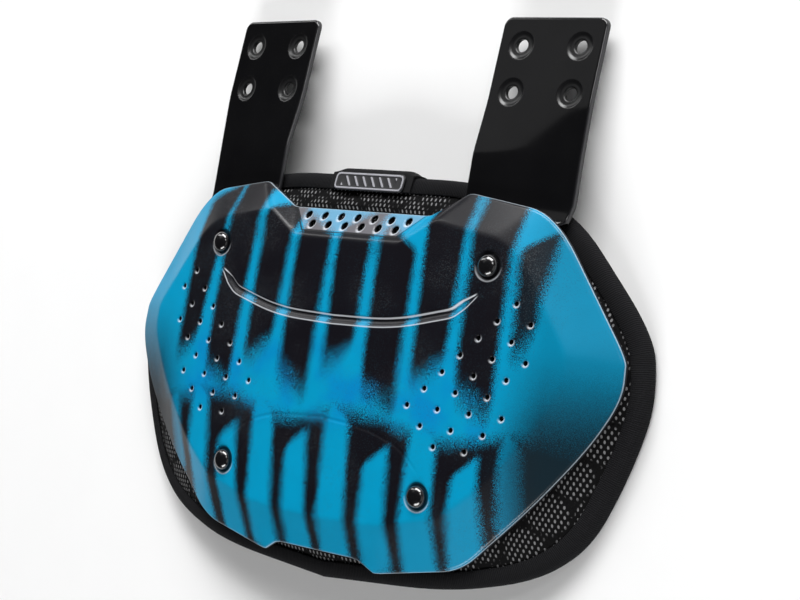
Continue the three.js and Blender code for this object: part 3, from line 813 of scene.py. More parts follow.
def shell_marks(points, edge, line, holes):
    """What the paint goes by: sprayed design, painted highlight lines and glints, painted shade in the
    seats, tray and cut edge.
    """
    size, rivets = sizes("shell"), sizes("rivets")
    away, side, share = distance_to(points, share_line(STEP_ROWS))
    notch = line[(np.abs(line[:, 0]) < size.half_width * NOTCH_SHARE) & (line[:, 1] > 0), :2]
    notch = notch[np.argsort(notch[:, 0])]
    glint, seat = np.zeros(len(points)), np.zeros(len(points))
    for centre, radius, _ in holes[: -len(rivet_places())]:
        lit = rim_glint(points, centre, radius + 0.25, (0.5, -0.85), least=0.25, width=0.6, reach=1.3)
        glint = np.maximum(glint, lit)
    for centre in rivet_places().values():
        lit = rim_glint(points, centre, rivets.seat_radius, (0, -1), least=0, width=0.5, reach=1.2)
        glint = np.maximum(glint, lit)
        seat = np.maximum(seat, np.clip((rivets.seat_radius - away_from(points, centre)) / 1.2, 0, 1))
    # across, ends and crest place the painted highlight lines, glint the painted glints, seat the painted
    # shade
    both = {
        "ink": spray_depth(points),
        "shade": wing_shade(points),
        "across": away * side,
        "ends": np.clip(np.minimum(share, 1 - share) * 16, 0.25, 1),
        "crest": distance_to(points, notch)[0],
        "glint": glint,
        "seat": seat,
        "tray": tray_depth(points),
    }
    rim = np.clip(1 - edge / (size.edge_radius * 1.3), 0, 1)
    return sheet_marks(both, {"rim": rim, "front": np.ones(len(points))})


class BACKPLATE_OT_shell(bpy.types.Operator):
    """Makes the moulded shell with its holes, seats, pressed lines and sprayed finish, with painted
    highlights and shade
    """

    bl_idname = "back_plate.shell"
    bl_label = "Shell"

    def execute(self, context):
        line, holes = shell_line(), shell_holes()
        points, faces = shell_area(line, holes)
        edge, _, _ = distance_to(points, line[:, 2:4], closed=True)
        top, bottom = shell_heights(points, edge, line, holes)
        solid, quads = sheet_body(points, faces, np.c_[points, top], np.c_[points, bottom])
        marks = shell_marks(points, edge, line, holes)
        make_piece("moulded_shell", solid, quads, "shell", sprayed_plastic(), marks, sharp=50)
        return {"FINISHED"}


def sprayed_plastic():
    """Clear-coated plastic with a speckled sprayed design, a pale cut edge, and painted highlights, sparkle
    and shade.
    """
    colours = bpy.context.scene.back_plate.shell
    finish = Finish("sprayed clear-coated plastic")
    right, height, _ = finish.axes(finish.place())
    side = abs(right)

    # The bright paint, deeper over the middle, and the dark spray with its speckled borders and painted grey
    # sparkle
    bright = finish.blend(finish.grain(12), tuple(colours.paint), tuple(0.88 * c for c in colours.paint))
    middle = height.smooth(-0.085, -0.055) * (1 - height.smooth(-0.05, -0.015))
    deep = (1 - side.smooth(0.1, 0.13)) * middle * finish.grain(22).smooth(0.35, 0.7)
    bright = finish.blend(deep * 0.55, bright, tuple(colours.deep_paint))
    speckle = finish.grain(0.42, detail=1.0, rough=0.7).smooth(0.3, 0.7) - 0.5
    fade = finish.grain(26, detail=1.0).smooth(0.3, 0.75)
    ink = finish.mark("ink") + (finish.grain(9, detail=3.0) - 0.5) * 2
    mask = (ink + speckle * (fade * 3 + 4)).smooth(-1.3, 1.3)
    # Grey specks on the dark spray: painted sparkle standing in for glare
    tone_and_sparkle = finish.grain(0.6, detail=1.0).smooth(0.5, 0.72) * finish.grain(34).smooth(0.4, 0.75)
    dark = finish.blend(tone_and_sparkle * 0.6, tuple(colours.dark_paint), (0.075, 0.08, 0.085))
    paint = finish.blend(mask, bright, dark)

    # Stray dust, the airbrushed lower wings and painted shade that darkens the right wing
    dust = finish.grain(0.7, detail=1.0).smooth(0.52, 0.78) * finish.grain(40).smooth(0.3, 0.7)
    paint = finish.blend(dust * 0.35, paint, (0.03, 0.07, 0.09))
    shade = finish.mark("shade")
    shade = shade + speckle * shade.smooth(0, 0.4) * 0.25
    paint = finish.blend(shade.clamped(), paint, (0.004, 0.008, 0.012))
    # Painted shade: the right wing's facet is made darker, where less light falls
    paint = finish.blend(right.smooth(0.105, 0.14) * 0.3, paint, (0.0, 0.03, 0.05))

    # The vents' tray with painted shade along its sunken edge, and painted shade in the rivets' dished seats
    tray = finish.mark("tray")
    paint = finish.blend(tray.smooth(0.8, 1.2) * 0.3, paint, (0.42, 0.41, 0.45))
    # Painted shade: a dark line round the tray's sunken edge
    outline = tray.smooth(-0.35, 0) * (1 - tray.smooth(0.3, 0.6))
    paint = finish.blend(outline * 0.85, paint, (0.004, 0.004, 0.005))
    # Painted shade: the rivets' dished seats are darkened
    paint = finish.blend(finish.mark("seat") * 0.9, paint, (0.002, 0.002, 0.003))

    # Painted highlights along the step and the notch and painted glints on rims, then the cut edge and the
    # back
    across, ends = finish.mark("across"), finish.mark("ends")
    upper = 1 - abs(across + ends * 2.6).smooth(0.15, 0.5)
    lower = 1 - abs(across - ends * 2.1).smooth(0.2, 0.6)
    crest = 1 - finish.mark("crest").smooth(0.2, 0.6)
    painted_highlights = (upper * 0.6 + lower * 0.9) * ends.smooth(0.25, 0.4) + crest * 0.55 + finish.mark("glint") * 0.8
    paint = finish.blend((painted_highlights * 0.85).clamped(), paint, tuple(colours.painted_highlight))
    front = finish.mark("front")
    body = finish.blend(front.smooth(0.6, 0.95), (0.012, 0.012, 0.014), paint)
    rim = finish.mark("rim").smooth(0.6, 0.95) * front.smooth(0.7, 0.95)
    return finish.set(
        Base_Color=finish.blend(rim * 0.7, body, tuple(colours.cut_edge)),
        Roughness=0.5,
        Specular_IOR_Level=0.1,
        Coat_Weight=0.35 - side.smooth(0.128, 0.15) * 0.25,
        Coat_Roughness=0.2,
        Normal=finish.bump(finish.grain(0.8, detail=2.0), 0.03),
    )


# The pad's surface


def pad_line(longest=3.0):
    """The outer edge of the edging, all round, clockwise from the top centre."""
    size = sizes("pad")
    scale = np.array([size.half_width, size.length, -size.drop])
    line = rounded_line(mirror_rows(PAD_ROWS, [0]), True, longest, scale)
    line[:, 1] += size.top_y - size.length
    return line


def pad_normals(line):
    """Unit normals of the pad's edge line, towards its middle."""
    along = np.roll(line, -1, axis=0) - np.roll(line, 1, axis=0)
    return np.c_[-left_normals(along), np.zeros(len(line))]


def pad_middle(points, edge):
    """Height of the pad's middle surface at points on the way from its centre to its edge line."""
    shell, straps, pad = sizes("shell"), sizes("straps"), sizes("pad")
    centre = np.array([0, shell.centre_y])
    under = shell.thickness + straps.thickness + 2 * pad.clearance + pad.thickness / 2
    share = away_from(points[:, :2], centre) / away_from(edge[:, :2], centre)
    rest = -face_drop(points[:, 0], points[:, 1]) - under
    rest_edge = -face_drop(edge[:, 0], edge[:, 1]) - under
    return rest + (edge[:, 2] - rest_edge) * share ** 3


def pad_loop(line, inset, share, lift):
    """The pad's edge line inset along its normals and drawn in to the centre, on one of its faces."""
    centre_y = sizes("shell").centre_y
    points = line + pad_normals(line) * inset
    points[:, 0] *= share
    points[:, 1] = centre_y + (points[:, 1] - centre_y) * share
    points[:, 2] = pad_middle(points, line) + lift
    return points


def pad_trees(line):
    """Front and back of the foam as surfaces for height rays."""
    size = sizes("pad")
    hem = size.edging_height / 2 - size.edging_wall - size.clearance
    full = size.thickness / 2
    width, taper = size.edging_width, size.taper
    steps = [(width + taper, share, full) for share in (0.001, 0.15, 0.3, 0.45, 0.6, 0.75, 0.88, 1)]
    steps += [
        (width + taper * share, 1, hem + (full - hem) * math.sin(share * math.pi / 2) ** 0.8)
        for share in (0.7, 0.45, 0.25, 0.1)
    ]
    steps += [(inset + size.clearance, 1, hem) for inset in (width, size.edging_wall, -size.clearance)]
    trees = []
    for side in (1, -1):
        rings = [pad_loop(line, inset, share, side * half) for inset, share, half in steps]
        solid, faces = swept_body(rings, False)
        trees.append(BVHTree.FromPolygons([Vector(p) for p in solid], faces[:-2]))
    return trees


def cell_edge(points, pitch):
    """Distance in millimetres to the nearest side of a lattice of six-sided cells."""
    rise = pitch * math.sqrt(3)
    nearest = np.full(len(points), 1e9)
    second = np.full(len(points), 1e9)
    for shift_x, shift_y in ((0, 0), (pitch / 2, rise / 2)):
        base = np.round((points - (shift_x, shift_y)) / (pitch, rise))
        for dx in (-1, 0, 1):
            for dy in (-1, 0, 1):
                centre = (base + (dx, dy)) * (pitch, rise) + (shift_x, shift_y)
                away = away_from(points, centre)
                second = np.minimum(second, np.maximum(nearest, away))
                nearest = np.minimum(nearest, away)
    return (second - nearest) / 2


def swell(piece, pins, cap, frames=20, pressure=4, quality=6):
    """Lets a closed mesh swell as pressed cloth, pinned by weight, and keeps the result."""
    before = np.array([v.co for v in piece.data.vertices])
    group = piece.vertex_groups.new(name="sewn")
    for i, weight in enumerate(pins):
        group.add([i], float(weight), "REPLACE")
    cloth = piece.modifiers.new("swell", "CLOTH")
    settings = cloth.settings
    settings.vertex_group_mass = "sewn"
    settings.use_pressure = True
    settings.uniform_pressure_force = pressure
    settings.effector_weights.gravity = 0
    settings.quality = quality
    scene = bpy.context.scene
    for step in range(1, frames + 1):
        scene.frame_set(step)
    state = piece.evaluated_get(bpy.context.evaluated_depsgraph_get())
    after = np.array([v.co for v in state.data.vertices])
    piece.modifiers.remove(cloth)
    piece.vertex_groups.remove(group)
    scene.frame_set(1)
    move = after - before
    reach = np.linalg.norm(move, axis=1)
    move *= np.minimum(1, cap * MM / np.maximum(reach, 1e-9))[:, None]
    return before, move


class BACKPLATE_OT_pad(bpy.types.Operator):
    """Makes the padded backing, its cells swollen as cloth over foam"""

    bl_idname = "back_plate.pad"
    bl_label = "Pad"

    def execute(self, context):
        size, rivets = sizes("pad"), sizes("rivets")
        line = pad_line()
        inner = size.edging_wall + size.clearance
        outline = pad_loop(line, inner, 1, 0)[:, :2]
        hem = [pad_loop(line, inner + depth, 1, 0)[::2, :2] for depth in (3.5, 7, 9.5, 11.5)]
        holes = [circle(centre, rivets.hole_radius, 12) for centre in rivet_places().values()]
        points, faces = filled_area(outline, holes, hem, PAD_SPACING)
        front_tree, back_tree = pad_trees(line)
        missed = -face_drop(points[:, 0], points[:, 1]) - 20
        top = ray_heights(points, front_tree, missed)
        bottom = ray_heights(points, back_tree, missed - 10)

        # The front keeps half a millimetre under the shell and the straps
        rim = inset_loop(shell_line()[:, 2:4], -1.5)
        under_shell = band_height(points, band_tree(shell_line())) - sizes("shell").thickness
        ceiling = np.where(inside(points, rim), under_shell - 0.5, FAR)
        ceiling = np.minimum(ceiling, strap_underside(points) - 0.5)
        top = np.minimum(top, ceiling)
        room = np.minimum(ceiling - top, size.puff)

        # Grooves between the cells, which are pinned there and swell in between
        edge, _, _ = distance_to(points, outline, closed=True)
        cell = cell_edge(points, size.cell_pitch)
        free = np.clip((edge - size.edging_width - 2) / 4, 0, 1) * np.clip((cell - 1.6) / 2.5, 0, 1)
        groove = np.clip(1 - cell / GROOVE_WIDTH, 0, 1) * np.clip((edge - size.edging_width) / 3, 0, 1)
        top -= GROOVE_DEPTH * groove
        bottom += GROOVE_DEPTH * groove
        solid, body = sheet_body(points, faces, np.c_[points, top], np.c_[points, bottom])
        material, marks = spacer_mesh(), sheet_marks({"cell": cell})
        piece = make_piece("mesh_covered_pad", solid, body, "pad", material, marks, sharp=70)
        before, move = swell(piece, 1 - np.tile(free, 2), size.puff)
        count = len(points)
        move[:count, 2] = np.clip(move[:count, 2], 0, np.maximum(room, 0) * MM)
        move[count:, 2] = np.clip(move[count:, 2], -size.puff * MM, 0)
        move[:, :2] *= 0.3
        piece.data.vertices.foreach_set("co", (before + move).ravel())
        return {"FINISHED"}


def spacer_mesh():
    """Black spacer mesh: rows of small holes that show a paler ground."""
    finish = Finish("black spacer mesh")
    x, y, _ = finish.axes(finish.place())
    pitch = 2.9 * MM
    rows = y / (pitch * 0.866)
    across = (x / pitch + math.floor(rows) % 2 * 0.5).fraction() - 0.5
    along = rows.fraction() - 0.5
    away = (across * across * 3.6 + along * along * 0.9) ** 0.5
    dot = 1 - away.smooth(0.28, 0.4)
    shade = finish.mark("cell").smooth(0.9, 2.2)
    light = dot * shade * (finish.grain(8) * 0.3 + 0.8)
    thread = finish.grain(0.5, detail=1.0)
    ground = finish.blend(thread, (0.002, 0.002, 0.0022), (0.007, 0.007, 0.0075))
    colour = finish.blend(light.clamped(), ground, (0.22, 0.22, 0.225))
    relief = finish.bump(dot * -1 + thread * 0.3, 0.35, 0.8)
    return finish.set(Base_Color=colour, Roughness=0.9, Normal=relief, Specular_IOR_Level=0.1)


def folded_section(width, height, wall):
    """A strip folded over an edge, as inset and lift, with round outer corners."""
    half = height / 2
    bend = half * 0.72
    section = [(width, half - 0.5), (width - 0.6, half)]
    for turn in np.radians(np.linspace(90, -90, 9)):
        lift = (half - bend) * np.sign(math.sin(turn)) + bend * math.sin(turn)
        section.append((bend - bend * math.cos(turn), lift))
    section += [(width - 0.6, -half), (width, -half + 0.5), (width, wall - half), (wall, wall - half)]
    section += [(wall, half - wall), (width, half - wall)]
    return section


class BACKPLATE_OT_edging(bpy.types.Operator):
    """Makes the ribbed edging folded over the edge of the pad"""

    bl_idname = "back_plate.edging"
    bl_label = "Edging"

    def execute(self, context):
        size = sizes("pad")
        line = pad_line(1.6)
        section = folded_section(size.edging_width, size.edging_height, size.edging_wall)
        columns = [pad_loop(line, inset, 1, lift) for inset, lift in section]
        solid, faces = swept_body([np.array(loop) for loop in zip(*columns)], True)
        step = np.linalg.norm(np.roll(line, -1, axis=0) - line, axis=1)
        phase = np.concatenate([[0], np.cumsum(step)[:-1]]) / step.sum() * 2 * math.pi
        marks = {"turn_cos": np.cos(phase), "turn_sin": np.sin(phase)}
        marks = {key: np.repeat(values, len(section)) for key, values in marks.items()}
        material = ribbed_weave(step.sum())
        make_piece("woven_edging", solid, faces, "binding", material, marks, sharp=55)
        return {"FINISHED"}


def ribbed_weave(length, pitch=1.1):
    """Charcoal ribbon with fine ribs across it, a whole number of them round a length in mm."""
    finish = Finish("ribbed charcoal ribbon")
    turn = finish.mark("turn_sin").arctan2(finish.mark("turn_cos"))
    ribs = round(length / pitch)
    rib = (turn * ribs).sine() * 0.5 + 0.5
    fibre = finish.grain(0.4, detail=2.0)
    wear = finish.grain(20, detail=3.0)
    ground = finish.blend(rib * 0.6 + fibre * 0.4, (0.0015, 0.0015, 0.002), (0.02, 0.02, 0.022))
    colour = finish.blend(wear * 0.4, ground, (0.009, 0.009, 0.01))
    relief = finish.bump(rib * 0.7 + fibre * 0.6, 0.35)
    return finish.set(Base_Color=colour, Roughness=0.9, Normal=relief, Specular_IOR_Level=0.1)


# Label


def top_edge():
    """The pad's edge line along the top, from the middle to the right."""
    line = pad_line()
    top = line[(line[:, 1] > 0) & (line[:, 0] >= 0) & (line[:, 0] < 90)]
    return top[np.argsort(top[:, 0])]


def label_point(edge_line, x, inset, lift):
    """A point over the pad's top edge, by inset from the edge and lift from the middle surface."""
    at = abs(x)
    edge = np.array([[at, *(np.interp(at, edge_line[:, 0], edge_line[:, k]) for k in (1, 2))]])
    point = edge - (0, inset, 0)
    point[:, 2] = pad_middle(point, edge) + lift
    return point[0] * (math.copysign(1, x), 1, 1)


def rounded_box(length, width, corner):
    """A rectangle with round corners about the origin, anticlockwise."""
    x, y = length / 2 - corner, width / 2 - corner
    loop = []
    for quarter, (right, up) in enumerate(((1, 1), (-1, 1), (-1, -1), (1, -1))):
        for turn in np.linspace(quarter, quarter + 1, 9) * math.pi / 2:
            loop.append((right * x + corner * math.cos(turn), up * y + corner * math.sin(turn)))
    return np.array(loop)


class BACKPLATE_OT_label(bpy.types.Operator):
    """Makes the cloth tab over the edging and the plain patch on it"""

    bl_idname = "back_plate.label"
    bl_label = "Label"

    def execute(self, context):
        size, pad = sizes("label"), sizes("pad")
        width, half, gap = pad.edging_width, pad.edging_height / 2, pad.clearance
        front = half + gap + size.wall
        edge_line = top_edge()
        loops = []
        for x in np.linspace(-size.half_width, size.half_width, 49):
            rise = size.side_rise + (size.rise - size.side_rise) * ease((size.half_width - abs(x)) / 7)
            section = [(width, front - 0.4), (width - 0.4, front)]
            for turn in np.radians(np.linspace(80, -80, 13)):
                section.append((-rise * math.cos(turn) ** 0.7, front * math.sin(turn)))
            section += [
                (width / 2, -front), (width / 2, -half - gap), (0.6, -half - gap),
                (-gap, -half * 0.7), (-gap, half * 0.7), (0.6, half + gap), (width, half + gap),
            ]
            loops.append(np.array([label_point(edge_line, x, inset, lift) for inset, lift in section]))
        solid, faces = swept_body(loops, False)
        make_piece("label_tab_cloth", solid, faces, "label_tab", tab_cloth(), sharp=45)

        # The patch: a raised border and bars on a plate that follows the tab's slope
        outline = rounded_box(size.patch_length, size.patch_width, 3)
        rings = [inset_loop(outline, depth) for depth in (0.4, 1.4)]
        points, faces = filled_area(outline, [], rings, PATCH_SPACING)
        edge, _, _ = distance_to(points, outline, closed=True)
        border = np.clip(1.6 - np.abs(edge - 1.1) / 0.45, 0, 1)
        bars = np.clip(1.4 - np.abs((points[:, 0] + points[:, 1] * 0.7) % 6 - 3) / 0.8, 0, 1)
        bars *= np.clip((edge - 2.2) / 0.4, 0, 1) * np.clip((20 - np.abs(points[:, 0])) / 0.5, 0, 1)
        light = np.maximum(border, bars)
        upper, lower = (label_point(edge_line, 0, inset, front) for inset in (0, width))
        along = (upper - lower) / np.linalg.norm(upper - lower)
        out = np.cross((1, 0, 0), along)
        flat = (upper + lower) / 2 + out * gap + points[:, :1] * (1, 0, 0) + points[:, 1:] * along
        height = size.patch_thickness - 0.35 + 0.35 * light - 0.5 * np.clip(1 - edge / 0.5, 0, 1) ** 2
        solid, faces = sheet_body(points, faces, flat + height[:, None] * out, flat)
        marks = sheet_marks({}, {"light": light})
        make_piece("label_patch_moulded", solid, faces, "label_patch", patch_finish(), marks)
        return {"FINISHED"}


def tab_cloth():
    """Matt black cloth of the label's tab."""
    finish = Finish("tab cloth")
    fibre = finish.grain(0.45, detail=2.0)
    colour = finish.blend(fibre, (0.003, 0.003, 0.0035), (0.014, 0.014, 0.015))
    relief = finish.bump(fibre, 0.15)
    return finish.set(Base_Color=colour, Roughness=0.9, Normal=relief, Specular_IOR_Level=0.12)


def patch_finish():
    """Dark moulded patch with a pale border and bars."""
    finish = Finish("moulded patch")
    grit = finish.grain(0.35, detail=1.0)
    pale = finish.blend(grit, (0.2, 0.2, 0.22), (0.42, 0.42, 0.46))
    colour = finish.blend(finish.mark("light").smooth(0.3, 0.7), (0.01, 0.01, 0.012), pale)
    return finish.set(Base_Color=colour, Roughness=0.55, Normal=finish.bump(grit, 0.08))


# Straps


def strap_points(flat, below):
    """Flat strap coordinates (across, y) to the bent and twisted strip."""
    size = sizes("straps")
    rows = np.array(STRAP_ROWS)
    share = (np.clip(flat[:, 1], size.bottom_y, size.top_y) - size.bottom_y) / (size.top_y - size.bottom_y)
    drop, yaw = np.zeros(len(flat)), np.zeros(len(flat))
    for offset in np.linspace(-0.02, 0.02, 5):
        at = np.clip(share + offset, 0, 1)
        drop += np.interp(at, rows[:, 0], rows[:, 1]) / 5
        yaw += np.radians(np.interp(at, rows[:, 0], rows[:, 2])) / 5
    z = -drop * sizes("shell").wing_drop - flat[:, 0] * np.sin(yaw) - below
    return np.c_[size.centre_x + flat[:, 0] * np.cos(yaw), flat[:, 1], z]


def strap_outline():
    """A strap's outline before it is bent, anticlockwise from its hidden end."""
    size = sizes("straps")
    half, reach = size.width / 2, size.top_y - size.bottom_y
    rows = np.array(STRAP_ROWS)
    right = [(half * outer, size.bottom_y + share * reach) for share, _, _, outer in rows[:-1]]
    corner = [
        (half - size.corner * (1 - math.cos(a)), size.top_y - size.corner * (1 - math.sin(a)))
        for a in np.linspace(0, math.pi / 2, 9)
    ]
    left = [(-x, y) for x, y in reversed(corner)] + [(-half, size.bottom_y)]
    rough = np.array(right + corner + left)
    fine = []
    for a, b in zip(rough, np.roll(rough, -1, axis=0)):
        pieces = max(1, math.ceil(np.hypot(*(b - a)) / 2.5))
        fine.extend(a + (b - a) * k / pieces for k in range(pieces))
    return np.array(fine)


def strap_underside(points, margin=1.0):
    """Height of the straps' undersides at each point, and far above where no strap lies."""
    size = sizes("straps")
    flat = np.c_[np.abs(points[:, 0]) - size.centre_x, points[:, 1]]
    under = inside(flat, inset_loop(strap_outline(), -margin))
    return np.where(under, strap_points(flat, size.thickness)[:, 2], FAR)


class BACKPLATE_OT_straps(bpy.types.Operator):
    """Makes the two plastic straps with their dished bolt seats"""

    bl_idname = "back_plate.straps"
    bl_label = "Straps"

    def execute(self, context):
        size, rivets = sizes("straps"), sizes("rivets")
        outline = strap_outline()
        bolts = [
            (across * size.bolts_across, size.top_y - size.bolts_below - row * size.bolts_along)
            for row in (0, 1) for across in (-0.5, 0.5)
        ]
        loops = [circle(bolt, size.bolt_radius, 32) for bolt in bolts]
        loops.append(circle((rivets.upper_x - size.centre_x, 0), rivets.hole_radius, 16))
        extra = [inset_loop(outline, depth) for depth in (0.25, 0.7, 1.4)]
        for bolt in bolts:
            extra += [circle(bolt, rivets.seat_radius + lip, 40) for lip in (-3, -1.8, -1.1, -0.4, 0.1, 0.6)]
            extra += [circle(bolt, size.bolt_radius + lip, 32) for lip in (0.3, 0.7)]
        points, faces = filled_area(outline, loops, extra, STRAP_SPACING)

        edge, _, _ = distance_to(points, outline, closed=True)
        fall = 0.7 - np.sqrt(np.maximum(0.49 - np.clip(0.7 - edge, 0, 0.7) ** 2, 0))
        seat = np.zeros(len(points))
        for bolt in bolts:
            away = away_from(points, bolt)
            fall = fall + rivets.seat_depth * ease((rivets.seat_radius - away) / BOLT_SEAT_SLOPE)
            fall = fall + 0.4 * np.clip(1 - (away - size.bolt_radius) / 0.7, 0, 1) ** 2
            seat = np.maximum(seat, np.clip((rivets.seat_radius + 0.6 - away) / 0.6, 0, 1))
        top, bottom = strap_points(points, fall), strap_points(points, size.thickness)
        solid, body = sheet_body(points, faces, top, bottom)
        # The rim mark sets a painted highlight along the strap's edge
        marks = sheet_marks({"seat": seat}, {"rim": np.clip(1 - edge / 0.8, 0, 1)})
        material = strap_plastic()
        mirrored = [tuple(reversed(face)) for face in body]
        for side, place, sheet in (("right", solid, body), ("left", solid * (-1, 1, 1), mirrored)):
            name = "strap_" + side
            make_piece(name + "_moulded", place, sheet, name, material, marks, sharp=50)
        return {"FINISHED"}


def strap_plastic():
    """Glossy black plastic with a painted highlight on its rim, and duller in its bolt seats."""
    finish = Finish("glossy black strap")
    tone_and_sparkle = finish.grain(25, detail=3.0)
    scuff = finish.grain(1.2, detail=3.0)
    colour = finish.blend(tone_and_sparkle, (0.003, 0.003, 0.0035), (0.006, 0.006, 0.0065))
    # Painted highlight: the rim is made paler
    colour_with_painted_highlight = finish.blend(finish.mark("rim") * 0.6, colour, (0.06, 0.06, 0.065))
    rough = tone_and_sparkle * 0.06 + 0.06 + finish.mark("seat") * 0.2
    return finish.set(Base_Color=colour_with_painted_highlight, Roughness=rough, Normal=finish.bump(scuff, 0.004))


# Rivets


class BACKPLATE_OT_rivets(bpy.types.Operator):
    """Makes the four domed rivets, square to the face"""

    bl_idname = "back_plate.rivets"
    bl_label = "Rivets"

    def execute(self, context):
        size = sizes("rivets")
        base = sizes("pad").clearance - size.seat_depth
        crown = base + size.head_height
        edge, rise = base + size.head_rim, size.head_height - size.head_rim
        turns = np.linspace(0, math.pi / 2, 15)[:-1]
        dome = [(size.head_radius * math.cos(a), edge + rise * math.sin(a)) for a in turns]
        material = rivet_finish()
        for name, (x, y) in rivet_places().items():
            low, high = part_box(name)
            normal = face_normal(x, y)
            lean = size.tail_radius * math.hypot(normal.x, normal.y)
            tail = crown - ((high.z - low.z) / MM - lean) / normal.z
            profile = [
                (0, tail),
                (size.tail_radius - 0.6, tail),
                (size.tail_radius, tail + 0.5),
                (size.tail_radius, tail + size.tail_thickness),
                (size.shank_radius, tail + size.tail_thickness),
                (size.shank_radius, base),
                (size.head_radius - 0.4, base),
                (size.head_radius, base + 0.35),
                *dome,
                (0, crown),
            ]
            points, faces = turned_body(profile, 40)
            turn = UP.rotation_difference(normal).to_matrix()
            foot = np.array([x, y, -face_drop(x, y)])
            points = points @ np.array(turn).T + foot
            make_piece(name + "_domed", points, faces, name, material, sharp=50)
        return {"FINISHED"}


def rivet_finish():
    """Glossy black enamel."""
    finish = Finish("glossy black rivet")
    tone_and_sparkle = finish.grain(3, detail=2.0)
    colour = finish.blend(tone_and_sparkle, (0.004, 0.004, 0.005), (0.008, 0.008, 0.009))
    return finish.set(Base_Color=colour, Roughness=tone_and_sparkle * 0.05 + 0.17, Coat_Weight=1.0, Coat_Roughness=0.12)


# Stage


# Lights: place and aim in m, width, height and power. The strip lies along its own run, and the
# upper and lower sides of the others are level.
LIGHTS = (
    ("right softbox", (1.35, -0.35, 0.6), (0, 0, 0), 1.1, 0.6, 1.2),
    ("top softbox", (0.3, 4.2, 2.55), (0, 0, 0), 4.5, 1.8, 370),
    ("lower softbox", (0.45, -4.5, 2.4), (0, 0, 0), 3.6, 1.5, 190),
    ("glint", (1.0, 0.67, 1.02), (0, 0, 0), 0.3, 0.3, 2.5),
    ("card", (-0.80, 0.98, 1.14), (0.1, 0.1, 0), 0.75, 1.0, 0.75),
    ("strip", (-0.93, 0.86, 0.70), (0, 0, 0), 0.85, 0.18, 2.5),
)
STRIP_RUN = Vector((-0.60, -0.23, -0.52))
# The world's strength at the horizon, and its falls above that: by how much, from which rise, to which
HORIZON_STRENGTH = 0.825
SKY_FALLS = ((0.8, 0.0, 0.12), (0.0235, 0.1, 0.62))
# Camera: place in mm like the shapes, directions, lens and sensor in mm, clip distances in m
CAMERA_PLACE = (706.01, -49.42, 771.77)
CAMERA_RIGHT = Vector((0.75567, 0.13165, -0.64159))
CAMERA_DOWN = Vector((0.08289, -0.99094, -0.1057))
CAMERA_LENS, CAMERA_SENSOR = 87.75, 36
CAMERA_CLIP = (0.05, 20)
FLOOR_REACH = 3.0


def stand(name, data, place, right, up):
    """A light or a camera at a place in metres, which looks square to its right and up."""
    thing = bpy.data.objects.new(name, data)
    turn = Matrix((right, up, right.cross(up))).transposed()
    thing.matrix_world = Matrix.Translation(Vector(place)) @ turn.to_4x4()
    bpy.context.scene.collection.objects.link(thing)
    return thing


def studio_world():
    """A world with a pale horizon and a dark sky."""
    world = bpy.data.worlds.new("studio")
    world.use_nodes = True
    nodes = Nodes(world.node_tree)
    _, _, rise = nodes.axes(nodes.node("TexCoord"))
    strength = HORIZON_STRENGTH
    for fall, low, high in SKY_FALLS:
        strength = strength - rise.smooth(low, high) * fall
    nodes.fill(world.node_tree.nodes["Background"], {"Color": (1, 1, 1), "Strength": strength})
    return world


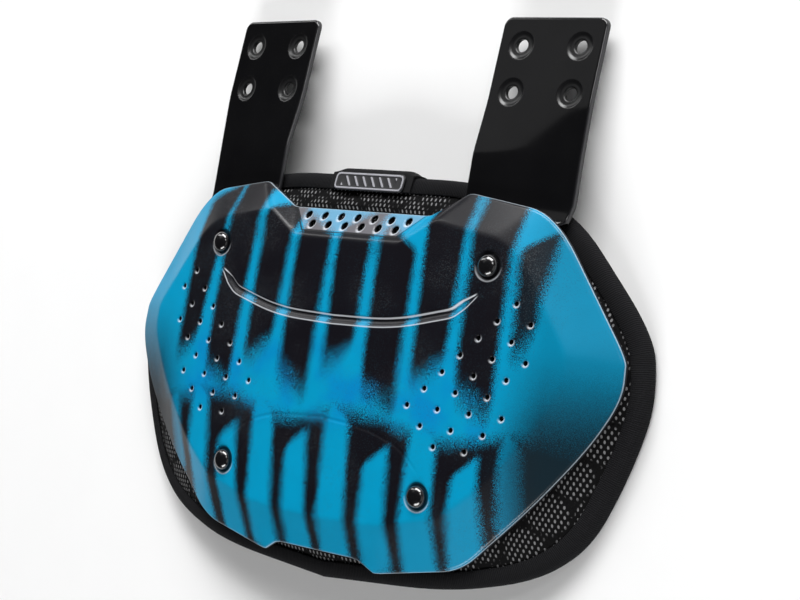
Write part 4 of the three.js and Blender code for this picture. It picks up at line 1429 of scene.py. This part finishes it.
class BACKPLATE_OT_stage(bpy.types.Operator):
    """Makes the floor, the soft lights and the camera"""

    bl_idname = "back_plate.stage"
    bl_label = "Stage"

    def execute(self, context):
        scene = context.scene
        scene.view_settings.view_transform = "Standard"
        mesh = bpy.data.meshes.new("floor")
        corners = [(x * FLOOR_REACH, y * FLOOR_REACH, 0) for x, y in ((-1, -1), (1, -1), (1, 1), (-1, 1))]
        mesh.from_pydata(corners, [], [(0, 1, 2, 3)])
        paper = Finish("pale paper floor")
        tone = paper.blend(paper.grain(40), (0.86, 0.86, 0.86), (0.88, 0.88, 0.88))
        mesh.materials.append(paper.set(Base_Color=tone, Roughness=0.9))
        floor = bpy.data.objects.new("floor", mesh)
        scene.collection.objects.link(floor)

        scene.world = studio_world()
        for name, place, aim, width, height, power in LIGHTS:
            light = bpy.data.lights.new(name, "AREA")
            light.shape = "RECTANGLE"
            light.size, light.size_y, light.energy = width, height, power
            forward = (Vector(aim) - Vector(place)).normalized()
            run = STRIP_RUN if name == "strip" else forward.cross(UP)
            up = run.cross(forward).normalized()
            stand(name, light, place, forward.cross(up), up)

        data = bpy.data.cameras.new("camera")
        data.lens, data.sensor_width = CAMERA_LENS, CAMERA_SENSOR
        data.clip_start, data.clip_end = CAMERA_CLIP
        right = CAMERA_RIGHT.normalized()
        up = (-CAMERA_DOWN - right * (-CAMERA_DOWN).dot(right)).normalized()
        scene.camera = stand("camera", data, (CAMERA_PLACE + shift()) * MM, right, up)
        return {"FINISHED"}


class BACKPLATE_PT_panel(bpy.types.Panel):
    """Lists the steps that make the back plate"""

    bl_idname = "BACKPLATE_PT_panel"
    bl_label = "Back plate"
    bl_space_type = "VIEW_3D"
    bl_region_type = "UI"
    bl_category = "Back plate"

    def draw(self, context):
        for step in STEPS:
            self.layout.operator(step.bl_idname)
        for group in BackPlateSettings.__annotations__:
            settings = getattr(context.scene.back_plate, group)
            column = self.layout.column(align=True)
            column.label(text=group.title())
            for name in settings.__annotations__:
                column.prop(settings, name)


SETTINGS = (ShellSettings, RivetSettings, PadSettings, StrapSettings, LabelSettings, BackPlateSettings)
STEPS = (
    BACKPLATE_OT_stage,
    BACKPLATE_OT_shell,
    BACKPLATE_OT_straps,
    BACKPLATE_OT_pad,
    BACKPLATE_OT_edging,
    BACKPLATE_OT_label,
    BACKPLATE_OT_rivets,
)


def register():
    for item in (*SETTINGS, *STEPS, BACKPLATE_PT_panel):
        bpy.utils.register_class(item)
    bpy.types.Scene.back_plate = bpy.props.PointerProperty(type=BackPlateSettings)


def unregister():
    del bpy.types.Scene.back_plate
    for item in reversed((*SETTINGS, *STEPS, BACKPLATE_PT_panel)):
        bpy.utils.unregister_class(item)


def main():
    """Makes the back plate step by step."""
    register()
    for step in STEPS:
        group, name = step.bl_idname.split(".")
        getattr(getattr(bpy.ops, group), name)()


if __name__ == "__main__":
    main()
